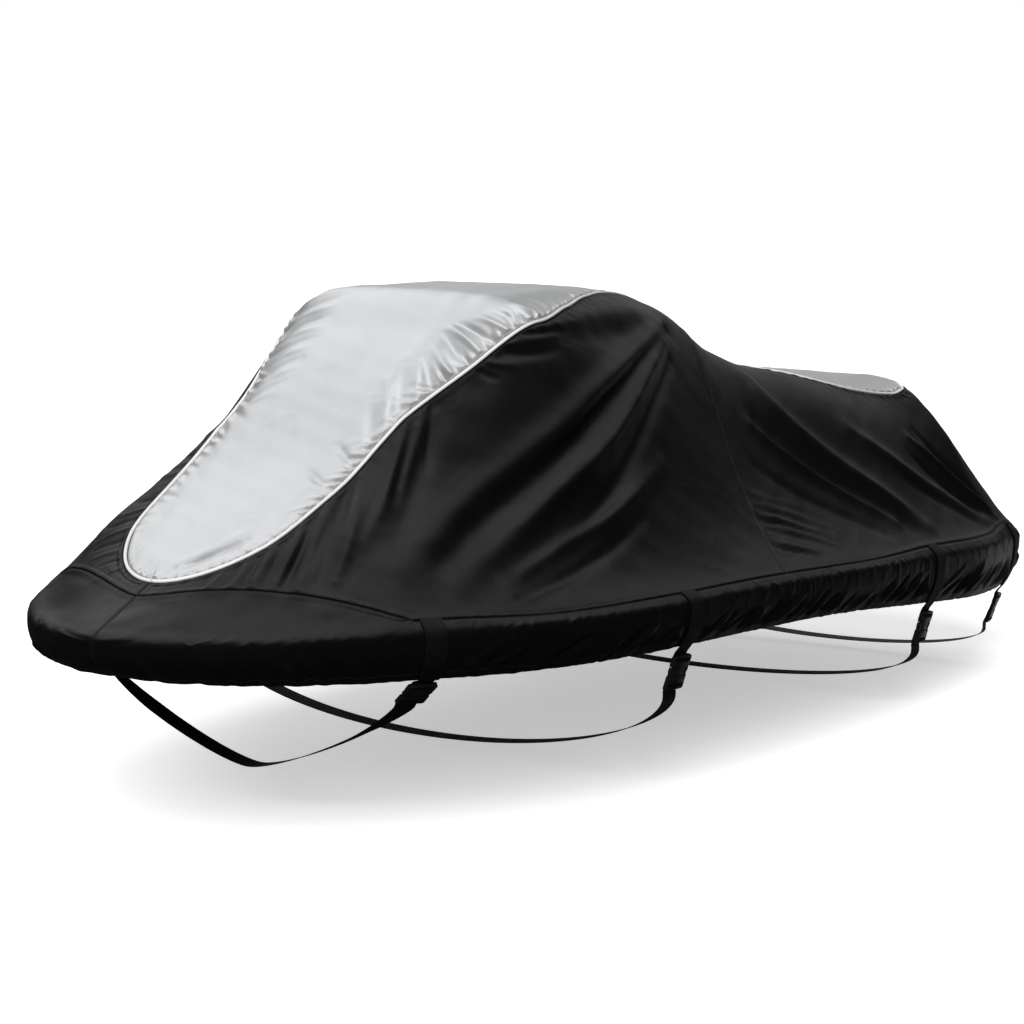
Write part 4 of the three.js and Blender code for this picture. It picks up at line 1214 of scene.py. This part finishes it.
def stern_panel():
    u = np.linspace(0, 8, STERN_GRID[0])
    inner = silver_line(np.interp(u, [0, 8], [STERN_PLACE, 3]), PIPING_GAP)
    inner[-1, 1] = 0
    stations = [CORNER_MIDDLE, CORNER_END, STERN_END]
    outer = band_seam(np.interp(u, [0, 2, 8], stations), ROLL - LAP)
    line = between(inner, outer)
    halves = [spread(line, steps(STERN_GRID[1]), side) for side in (PORT, STARBOARD)]
    points, normals, _ = [np.concatenate([half[0], half[1][-2::-1]]) for half in zip(*halves)]
    edges = [(points[:, 0], STERN_GATHERS, 90), (points[:, -1], FOOT_GATHERS, 91),
             (points[0], (), 0), (points[-1], (), 0)]
    total, nearest = gathered(points, edges)
    total += ripple(points, 150, 2.2, 95) * smooth(nearest / 60)
    total += seam_form(nearest, ALLOWANCE)
    final = points + normals * total[..., None]
    mesh = weld(sheet_mesh("stern_slope", final, normals))
    panel = piece("stern_slope", mesh, BLACK_CLOTH, ["stern_panel"])
    sew_edges(BLACK_STITCHES, final, normals, inner=6, outer=6, first=3.4, last=3.4)
    return panel


# Band: rolled over the rail, hanging as a skirt, with an elastic hem

HEM_RADIUS = 4.0
HEM_TURNS = (20, 45, 70, 95, 120, 145, 170)
HEM_RETURNS = (5, 12, 20)
HEM_COLUMNS = len(HEM_TURNS) + len(HEM_RETURNS)
CASING, CASING_RISE, CASING_SEAM = 19, 1.3, 17.5
CALM_START, CALM_SHARE = 34, 0.8

# Grid of the band: spacing of its rows, and places down its profile, closer at its seam
BAND_SPACING = 3.4
BAND_COLUMNS = np.array([0, 0.05, 0.11, 0.18, 0.27, 0.36, *np.linspace(0.46, 1, 12)[:-1],
                         *(1 + np.linspace(0, 1, 20))])


def under_strap(s, reach=30):
    """0 under a strap's webbing, rising to 1 clear of it."""
    clear = np.ones_like(s)
    for strap in STRAPS:
        clear = np.minimum(clear, smooth((np.abs(s - strap["at"]) - reach) / 22))
    return clear


def skirt_wrinkles(s, drop, seed):
    """Wrinkles that run down the skirt at a slant, fading at the roll."""
    draw = random.Random(seed)
    lift = np.zeros_like(s)
    for row in SKIRT_WRINKLES:
        place = row["start"]
        sign = 1
        while place < row["end"]:
            top = draw.uniform(-6, 26)
            length = draw.uniform(55, 120)
            width = row["width"] * draw.uniform(0.7, 1.45)
            rise = sign * row["rise"] * draw.uniform(0.45, 1.35)
            lean = row["lean"] * draw.uniform(0.55, 1.3) + draw.uniform(-0.25, 0.25)
            share = (drop - top) / length
            bend = draw.uniform(-0.003, 0.003)
            offset = s - place - lean * (drop - 40) - bend * (drop - 50) ** 2
            fade = smooth(share * 3) * smooth((1 - share) * 2.5)
            lift += rise * fade * np.exp(-((offset / width) ** 2))
            place += row["pitch"] * draw.uniform(0.5, 1.25)
            sign = -sign if draw.random() < 0.8 else sign
    return lift


def crumples(s, v, seed):
    """Short crumples over the roll, where the band is gathered to the top cloth."""
    draw = random.Random(seed)
    lift = np.zeros_like(s)
    place = -20.0
    while place < STERN_END + 40:
        centre = draw.uniform(0.25, 0.85)
        height = draw.uniform(0.22, 0.5)
        width = draw.uniform(3.0, 8.0)
        rise = draw.uniform(-1.5, 1.9)
        lean = draw.uniform(-55, 30)
        offset = (s - place - lean * (v - centre)) / width
        lift += rise * np.exp(-offset * offset - ((v - centre) / height) ** 2)
        place += draw.uniform(7, 17)
    return lift


def hem_ruffle(s, drop, depth, seed):
    """Waves in the hem, deepest round the bow."""
    draw = random.Random(seed)
    share = np.clip(drop / depth, 0, 1.1)
    wave = np.zeros_like(s)
    place = -30.0
    while place < STERN_END + 40:
        strong = 1.3 if place < 200 else 0.6 if place < 420 else 0.35
        width = draw.uniform(5, 10)
        rise = draw.uniform(-1, 1) * strong
        wave += rise * np.exp(-((s - place) / width) ** 2)
        place += draw.uniform(8, 18)
    return wave * share ** 2.5


def band_part(side, s, v, seed, sewn=True):
    """Points and normals of the band, with its wrinkles and its hem turned up inside."""
    s_grid, v_grid = np.meshgrid(s, v, indexing="ij")
    points = band(side, s_grid, v_grid)
    normals = band_normal(side, s_grid, v_grid)
    over = run_of(points, 1)
    drop = over - over[:, [np.argmax(v >= 0.999)]]
    depth = np.maximum(drop[:, -1:], 1)
    ends = run_of(points[:, :1], 0)
    ends = np.minimum(ends, ends[-1] - ends)
    clear = under_strap(s_grid) * smooth((ends - 1) / 16)
    calm = 1 - CALM_SHARE * smooth((drop - depth + CALM_START) / 30)
    total = skirt_wrinkles(s_grid, drop, seed) * smooth((drop + 8) / 22) * clear * calm
    total += crumples(s_grid, v_grid, seed + 1) * smooth(over / 5) * clear * smooth((2 - v_grid) * 3)
    total += hem_ruffle(s_grid, np.maximum(drop, 0), depth, seed + 2) * clear
    total += smooth((drop - depth + CASING) / 2.5) * CASING_RISE * clear
    if sewn:
        allowance = smooth((over - 0.5) / 2.5) * (1 - smooth((over - 9) / 3))
        total += seam_form(over, 0) + ALLOWANCE * allowance * clear
        total -= TUCK * (1 - smooth(ends / 3.2))
    final = points + normals * total[..., None]
    ruffle = hem_ruffle(s_grid, np.maximum(drop, 0), depth, seed + 3)
    final[..., 2] += 0.45 * ruffle * clear
    out = normals[:, -1]
    down = unit(final[:, -1] - final[:, -2])
    out = unit(out - np.sum(out * down, axis=-1, keepdims=True) * down)
    centre = final[:, -1] - HEM_RADIUS * out
    turns = np.radians(HEM_TURNS)
    hem = [centre + HEM_RADIUS * (math.cos(a) * out + math.sin(a) * down) for a in turns]
    hem_out = [math.cos(a) * out + math.sin(a) * down for a in turns]
    for rise in HEM_RETURNS:
        hem.append(centre - HEM_RADIUS * out - rise * down)
        hem_out.append(-out)
    final = np.concatenate([final, np.stack(hem, axis=1)], axis=1)
    normals = np.concatenate([normals, np.stack(hem_out, axis=1)], axis=1)
    return final, normals


def band_stitches(final, normals):
    """Rows of stitches beside the band's seam and above its hem casing."""
    sew_edges(BLACK_STITCHES, final, normals, inner=5.5)
    shown, ups = final[:, :-HEM_COLUMNS], normals[:, :-HEM_COLUMNS]
    sew_edges(BLACK_STITCHES, shown, ups, outer=CASING_SEAM)


def side_band(name, label, side, start, end, seed):
    s = np.linspace(start - LAP, end + LAP, row_count(end - start, BAND_SPACING))
    final, normals = band_part(side, s, BAND_COLUMNS, seed)
    mesh = sheet_mesh(f"skirt_{name}_{label}", final, normals)
    node = f"band_{name}_{label}"
    panel = piece(f"skirt_{name}_{label}", mesh, BLACK_CLOTH, [node])
    band_stitches(final, normals)
    return panel


def stern_band():
    s = np.linspace(TAIL_JOINT - LAP, STERN_END, row_count(STERN_END - TAIL_JOINT, BAND_SPACING))
    port = band_part(PORT, s, BAND_COLUMNS, 131)
    starboard = band_part(STARBOARD, s, BAND_COLUMNS, 137)
    last = (port[0][-1] + starboard[0][-1]) / 2
    near = smooth((s - STERN_END + 40) / 40)[:, None, None]
    for half in (port, starboard):
        half[0][:] = half[0] * (1 - near) + (half[0] + last - half[0][-1]) * near
    final = np.concatenate([port[0], starboard[0][-2::-1]])
    normals = np.concatenate([port[1], starboard[1][-2::-1]])
    mesh = sheet_mesh("skirt_stern", final, normals)
    panel = piece("skirt_stern", mesh, BLACK_CLOTH, ["band_stern"])
    band_stitches(final, normals)
    return panel


# Bow apron: from its seam over the rail to the hem

MIDDLE_TUCK = 2.0
MIDDLE_LAP = 1.0


def bow_apron(label, side):
    t = np.linspace(0, 1, APRON_GRID[0])
    s = FORE_JOINT * t ** APRON_CROWD
    inner = apron_seam(t)
    outer = band_seam(s)
    line = between(inner, outer)
    top, top_normals, _ = spread(line, steps(APRON_GRID[1], EDGE_STEPS[:4]), side)
    seed = 170 + side
    low, low_normals = band_part(side, s, BAND_COLUMNS, seed, sewn=False)
    along, away = beside(top, top[:, 0])
    total = strokes(along, away, APRON_GATHERS, seed + 4)
    foot = run_of(top, 1)
    foot = foot[:, -1:] - foot
    total += ripple(top, 90, 1.4, seed + 5) * smooth(away / 40) * smooth(foot / 30)
    total *= smooth((run_of(top, 0) - 1) / 14)
    total += seam_form(away, ALLOWANCE) * smooth(foot / 3)
    top = top + top_normals * total[..., None]
    final = np.concatenate([top[:, :-1], low], axis=1)
    normals = np.concatenate([top_normals[:, :-1], low_normals], axis=1)
    centre = smooth(run_of(final, 0) / 4)
    final = final - normals * (MIDDLE_TUCK * (1 - centre))[..., None]
    final[0, :, 1] = -side * MIDDLE_LAP
    mesh = weld(sheet_mesh("apron_" + label, final, normals))
    panel = piece("apron_" + label, mesh, BLACK_CLOTH, ["bow_apron_" + label])
    sew_edges(BLACK_STITCHES, final, normals, inner=6)
    shown, ups = final[:, :-HEM_COLUMNS], normals[:, :-HEM_COLUMNS]
    sew_edges(BLACK_STITCHES, shown, ups, first=4, outer=CASING_SEAM)
    return panel


# Piping and webbing: closed rounds along a path

def tube_mesh(name, rings):
    """Closed tube through rings of points, with its ends capped."""
    closed = np.concatenate([rings, rings[:, :1]], axis=1)
    ends = closed.mean(axis=1, keepdims=True)
    closed = np.concatenate([ends[:1] + 0 * closed[:1], closed, ends[-1:] + 0 * closed[:1]])
    outward = closed - closed[:, :-1].mean(axis=1, keepdims=True)
    mesh = sheet_mesh(name, closed, outward)
    bm = bmesh.new()
    bm.from_mesh(mesh)
    bmesh.ops.remove_doubles(bm, verts=bm.verts, dist=WELD / 2)
    bmesh.ops.recalc_face_normals(bm, faces=bm.faces)
    bm.to_mesh(mesh)
    bm.free()
    shade(mesh)
    return mesh


def piping(label, side):
    plan = even_edge(0, PIPING_RINGS)
    y = side * plan[:, 1]
    centres, up = cloth(plan[:, 0], y), taut_normal(plan[:, 0], y)
    way = unit(np.gradient(centres, axis=0))
    way[0], way[-1] = [0, side, 0], [0, -side, 0]
    across = unit(np.cross(way, up))
    up = np.cross(across, way)
    turns = np.linspace(0, 2 * math.pi, PIPING_SIDES + 1)[:-1]
    rings = np.stack([centres + PIPING_RADIUS * (math.cos(a) * across + math.sin(a) * up)
                      for a in turns], axis=1)
    name = "piping_" + label
    mesh = tube_mesh(name + "_bead", rings)
    piece(name + "_bead", mesh, WHITE_PIPING, [name])


def ribbon_rings(centres, across, face):
    """Rounded section of a strap at each place of its way."""
    half, deep = STRAP_WIDTH / 2, STRAP_THICKNESS / 2
    section = [(-half, 0), (-half + 0.5, deep * 0.8), (-half + 2, deep), (-7, deep), (7, deep),
               (half - 2, deep), (half - 0.5, deep * 0.8), (half, 0), (half - 0.5, -deep * 0.8),
               (half - 2, -deep), (0, -deep), (-half + 2, -deep), (-half + 0.5, -deep * 0.8)]
    return np.stack([centres + w * across + t * face for w, t in section], axis=1)


# Buckle: its sizes, how far it hangs below the hem, and the webbing's way round its bar
BUCKLE = dict(width=58, length=72, thickness=9, hang=22)
WRAP = [(-14, 1.5), (-8, 4.4), (-1, 5.8), (6.4, 5.8), (8.2, 2.4), (8.2, -6.5)]


def webbing(name, node, path, up):
    """A strap along a path of places and widthways directions, and how it lies."""
    centres, across = path[:, :3], unit(path[:, 3:])
    way = unit(np.gradient(centres, axis=0))
    face = unit(np.cross(across, way)) * up
    across = unit(np.cross(way, face))
    mesh = tube_mesh(name, ribbon_rings(centres, across, face))
    piece(name, mesh, BLACK_WEBBING, [node])
    return centres, across, face


def buckle_frame(side, strap):
    """Where a strap's buckle starts, and its directions along, across and outwards."""
    s = np.array([float(strap["at"])])
    out = rail_out(s)[0]
    outward = np.array([out[0], side * out[1], 0])
    hem_line = band(side, s + 0.5, np.array([2.0])) - band(side, s - 0.5, np.array([2.0]))
    across = unit(hem_line[0])
    drop = math.radians(strap["drop"])
    along = -math.cos(drop) * outward - np.array([0, 0, math.sin(drop)])
    along = unit(along - (along @ across) * across)
    face = -side * np.cross(across, along)
    start = band(side, s, np.array([2.0]))[0] + outward * (strap["lift"] + STRAP_THICKNESS / 2)
    return dict(start=start + BUCKLE["hang"] * along, along=along, across=across, face=face)


def rounded(path, count):
    """Evenly spaced points along a path, with its corners rounded off a little."""
    path = np.asarray(path, float)
    for _ in range(2):
        a = path[:-1] * 0.75 + path[1:] * 0.25
        b = path[:-1] * 0.25 + path[1:] * 0.75
        path = np.concatenate([path[:1], np.stack([a, b], axis=1).reshape(-1, path.shape[1]),
                               path[-1:]])
    run = run_of(path[:, None, :3], 0)[:, 0]
    even = np.linspace(0, run[-1], count)
    return np.stack([np.interp(even, run, path[:, k]) for k in range(path.shape[1])], axis=-1)


def at_buckle(buckle, along, face):
    """Place that lies so far along a buckle and so far out from it."""
    return buckle["start"] + along * buckle["along"] + face * buckle["face"]


SEWN_ROWS = (2, 29)
SEWN_HALF = 18


def band_webbing(label, side, strap):
    """Webbing that is sewn down the band and turned round the socket's bar."""
    s = np.full(17, float(strap["at"]))
    v = np.concatenate([np.linspace(0, 1, 9), np.linspace(1, 2, 9)[1:]])
    lift = strap["lift"] + STRAP_THICKNESS / 2 + STRAP_GAP
    on_band = band(side, s, v) + band_normal(side, s, v) * lift
    across = unit(band(side, s + 0.5, v) - band(side, s - 0.5, v))
    buckle = buckle_frame(side, strap)
    wrap = np.array([at_buckle(buckle, a, f) for a, f in WRAP])
    path = np.concatenate([on_band, wrap])
    widths = np.concatenate([across, np.tile(buckle["across"], (len(wrap), 1))])
    both = rounded(np.concatenate([path, widths], axis=1), 70)
    centres, across, face = webbing(f"strap_{strap['name']}_{label}",
                                    f"webbing_{strap['name']}_{label}", both, -side)
    top = centres + face * (STRAP_THICKNESS / 2)
    first, last = SEWN_ROWS
    for offset in (-SEWN_HALF, SEWN_HALF):
        line = (top + offset * across)[first:last + 1]
        BLACK_STITCHES.sew(line, face[first:last + 1], **STRAP_STITCH)
    for i in SEWN_ROWS:
        line = [top[i] + k * across[i] for k in np.linspace(-SEWN_HALF, SEWN_HALF, 7)]
        BLACK_STITCHES.sew(np.array(line), np.tile(face[i], (7, 1)), **STRAP_STITCH)


def under_webbing(strap):
    """Webbing that hangs under the craft from one side's buckle to the other's."""
    halves = []
    for side in (PORT, STARBOARD):
        buckle = buckle_frame(side, strap)
        length = BUCKLE["length"]
        wrap = [at_buckle(buckle, length - a, f) for a, f in reversed(WRAP)]
        first = at_buckle(buckle, length + BUCKLE["hang"], 0)
        second = first + strap["lead"] * buckle["along"]
        second[0] = first[0]
        keel = np.array([first[0], 0, strap["keel"]])
        third = keel + [0, side * strap["flat"], 0]
        t = np.linspace(0, 1, 28)[:, None]
        run = (first * (1 - t) ** 3 + 3 * second * t * (1 - t) ** 2
               + 3 * third * t * t * (1 - t) + keel * t ** 3)
        share = np.clip(t / 0.3, 0, 1)
        widths = unit(buckle["across"] * (1 - share) + np.array([1.0, 0, 0]) * share)
        lead = np.tile(buckle["across"], (len(wrap), 1))
        halves.append(np.concatenate([np.concatenate([wrap, lead], axis=1),
                                      np.concatenate([run, widths], axis=1)]))
    path = rounded(np.concatenate([halves[0], halves[1][-2::-1]]), 150)
    webbing("strap_under_" + strap["name"], "webbing_under_" + strap["name"], path, 1)


# Side release buckles

def plate(bm, corners, low, high, bevel):
    """Flat plate with softened edges, from the corners of its outline."""
    verts = [bm.verts.new((x, y, low)) for x, y in corners]
    base = bm.faces.new(verts)
    raised = bmesh.ops.extrude_face_region(bm, geom=[base])["geom"]
    top = [item for item in raised if isinstance(item, bmesh.types.BMVert)]
    bmesh.ops.translate(bm, vec=(0, 0, high - low), verts=top)
    every = set(verts) | set(top)
    faces = [face for face in bm.faces if set(face.verts) <= every]
    bmesh.ops.recalc_face_normals(bm, faces=faces)
    edges = list(dict.fromkeys(edge for face in faces for edge in face.edges))
    bmesh.ops.bevel(bm, geom=edges, offset=bevel, segments=2, profile=0.5, affect="EDGES",
                    material=-1, clamp_overlap=True)


def mirrored(corners):
    return corners + [(-x, y) for x, y in reversed(corners)]


def box_corners(x0, x1, y0, y1):
    return [(x0, y0), (x1, y0), (x1, y1), (x0, y1)]


def buckle_mesh(name, half):
    width, length, thick = BUCKLE["width"], BUCKLE["length"], BUCKLE["thickness"]
    side, deep = width / 2, thick / 2
    inner = STRAP_WIDTH / 2 + 1.5
    bm = bmesh.new()
    if half == "socket":
        plate(bm, mirrored([(side, 11.5), (side, 22), (15, 26), (15, 42)]), -deep, deep, 1.1)
        plate(bm, mirrored([(side - 3, 0), (side, 3), (side, 5)]), -deep, deep, 0.9)
        for sign in (-1, 1):
            corners = box_corners(sign * inner, sign * side, 3.5, 13)
            plate(bm, corners, -deep, deep, 0.8)
        for y in (29, 32.5, 36):
            plate(bm, box_corners(-10, 10, y, y + 1.4), deep - 0.4, deep + 0.5, 0.35)
    else:
        prong = [(15.4, 26.8), (side, 23.2), (side + 1, 32), (side - 2, 38), (side, 45), (15.4, 45)]
        for sign in (-1, 1):
            plate(bm, [(sign * x, y) for x, y in prong], -deep + 0.8, deep - 0.8, 0.9)
            for y in (27.5, 29.7):
                corners = box_corners(sign * (side - 0.6), sign * (side + 1.2), y, y + 1.1)
                plate(bm, corners, -2.6, 2.6, 0.3)
            plate(bm, box_corners(sign * inner, sign * side, 59, 68.5), -deep, deep, 0.8)
        plate(bm, box_corners(-side, side, 42.4, 60.5), -deep, deep, 1.1)
        plate(bm, mirrored([(side, 67), (side, 69), (side - 3, 72)]), -deep, deep, 0.9)
        plate(bm, box_corners(-18, 18, 47, 56), deep - 0.4, deep + 0.5, 0.4)
    mesh = bpy.data.meshes.new(name)
    bm.to_mesh(mesh)
    bm.free()
    return mesh


def buckle_half(half, label, side, strap):
    buckle = buckle_frame(side, strap)
    name = f"clip_{half}_{strap['name']}_{label}"
    mesh = buckle_mesh(name, half)
    points = np.empty(len(mesh.vertices) * 3)
    mesh.vertices.foreach_get("co", points)
    points = points.reshape(-1, 3)
    axes = np.stack([buckle["across"], buckle["along"], buckle["face"]])
    placed = buckle["start"] + points @ axes
    mesh.vertices.foreach_set("co", metres(placed).ravel())
    if np.linalg.det(axes) < 0:
        mesh.flip_normals()
    shade(mesh)
    node = f"buckle_{half}_{strap['name']}_{label}"
    return piece(name, mesh, BLACK_PLASTIC, [node])


# Everything together

sheets = [silver_top()]
for label, side in SIDES.items():
    sheets.append(forward_panel(label, side))
    sheets.append(rear_panel(label, side))
    sheets.append(bow_apron(label, side))
    sheets.append(side_band("fore", label, side, FORE_JOINT, WAIST_JOINT, 100 + side))
    sheets.append(side_band("waist", label, side, WAIST_JOINT, SEAT_JOINT, 110 + side))
    sheets.append(side_band("seat", label, side, SEAT_JOINT, TAIL_JOINT, 120 + side))
    piping(label, side)
sheets.append(stern_panel())
sheets.append(stern_band())
for strap in STRAPS:
    for label, side in SIDES.items():
        band_webbing(label, side, strap)
        buckle_half("socket", label, side, strap)
        buckle_half("prongs", label, side, strap)
    under_webbing(strap)
BLACK_STITCHES.make()
GREY_STITCHES.make()

# Floor, light and camera

FLOOR = -0.965

# Soft glows: azimuth and elevation, degrees where full and where faded, strength
GLOWS = [(98, 22, 4, 14, 0.32), (88, 43, 4, 20, 0.36), (64, 70, 10, 26, 0.75),
         (-20, 86, 6, 24, 1.0), (165, 54, 12, 28, 0.74), (139, 31, 5, 17, 1.1),
         (123, 8, 8, 26, 0.38), (95, -14, 3, 18, 0.5)]
DARK, PALE = 0.02, 1.0

# Camera: the place it looks at, its distance, direction and lens
TARGET = Vector((0.1247, 0, -0.4789))
DISTANCE = 7.072
VIEW = (-55.95, 8.05)
LENS = 119.7


def floor():
    """Pale floor that takes the shadow and throws no light back onto the cover."""
    bm = bmesh.new()
    bmesh.ops.create_grid(bm, x_segments=1, y_segments=1, size=500)
    bmesh.ops.translate(bm, vec=(0, 0, FLOOR), verts=bm.verts)
    mesh = bpy.data.meshes.new("floor")
    bm.to_mesh(mesh)
    bm.free()
    finish = Finish("pale_floor")
    mesh.materials.append(finish.cover(grey(0.9), 0.9, specular=0.1, glow=0.5))
    obj = bpy.data.objects.new("floor", mesh)
    bpy.context.scene.collection.objects.link(obj)
    obj.visible_diffuse = False
    obj.visible_glossy = False


def facing(azimuth, elevation):
    """Way towards a place round the studio, in degrees round from the port beam and up."""
    turn, rise = math.radians(azimuth), math.radians(elevation)
    return Vector((math.sin(turn) * math.cos(rise), -math.cos(turn) * math.cos(rise),
                   math.sin(rise)))


def studio():
    """Dark room with soft glows, and the pale distance seen over the floor."""
    world = bpy.data.worlds.new("studio")
    bpy.context.scene.world = world
    world.use_nodes = True
    nodes = Nodes(world.node_tree)
    way = nodes.place("Generated")
    light = DARK
    for azimuth, elevation, full, faded, strength in GLOWS:
        sockets = {0: way, 1: facing(azimuth, elevation)}
        share = nodes.add("ShaderNodeVectorMath", {"operation": "DOT_PRODUCT"}, sockets, "Value")
        full, faded = math.cos(math.radians(full)), math.cos(math.radians(faded))
        light = light + share.above(faded, full) * strength
    white = (1, 1, 1, 1)
    lit = nodes.add("ShaderNodeBackground", None, {"Color": white, "Strength": light})
    pale = nodes.add("ShaderNodeBackground", None, {"Color": white, "Strength": PALE})
    straight = nodes.add("ShaderNodeLightPath", None, None, "Is Camera Ray")
    both = nodes.add("ShaderNodeMixShader", None, {0: straight, 1: lit, 2: pale})
    nodes.add("ShaderNodeOutputWorld", None, {"Surface": both})


def lamp(name, azimuth, elevation, strength, spread):
    """Wide soft light from one direction, without a highlight of its own."""
    light = bpy.data.lights.new(name, "SUN")
    light.energy = strength
    light.angle = math.radians(spread)
    obj = bpy.data.objects.new(name, light)
    obj.rotation_euler = facing(azimuth, elevation).to_track_quat("Z", "Y").to_euler()
    obj.visible_glossy = False
    bpy.context.scene.collection.objects.link(obj)


def camera():
    back = facing(*VIEW)
    lens = bpy.data.cameras.new("camera")
    lens.lens = LENS
    lens.sensor_width = 36
    lens.clip_end = 1500
    obj = bpy.data.objects.new("camera", lens)
    obj.location = TARGET + DISTANCE * back
    obj.rotation_euler = back.to_track_quat("Z", "Y").to_euler()
    bpy.context.scene.collection.objects.link(obj)
    bpy.context.scene.camera = obj


floor()
studio()
lamp("fill_light", azimuth=-68, elevation=32, strength=3.9, spread=40)
camera()
bpy.context.scene.view_settings.view_transform = "Standard"
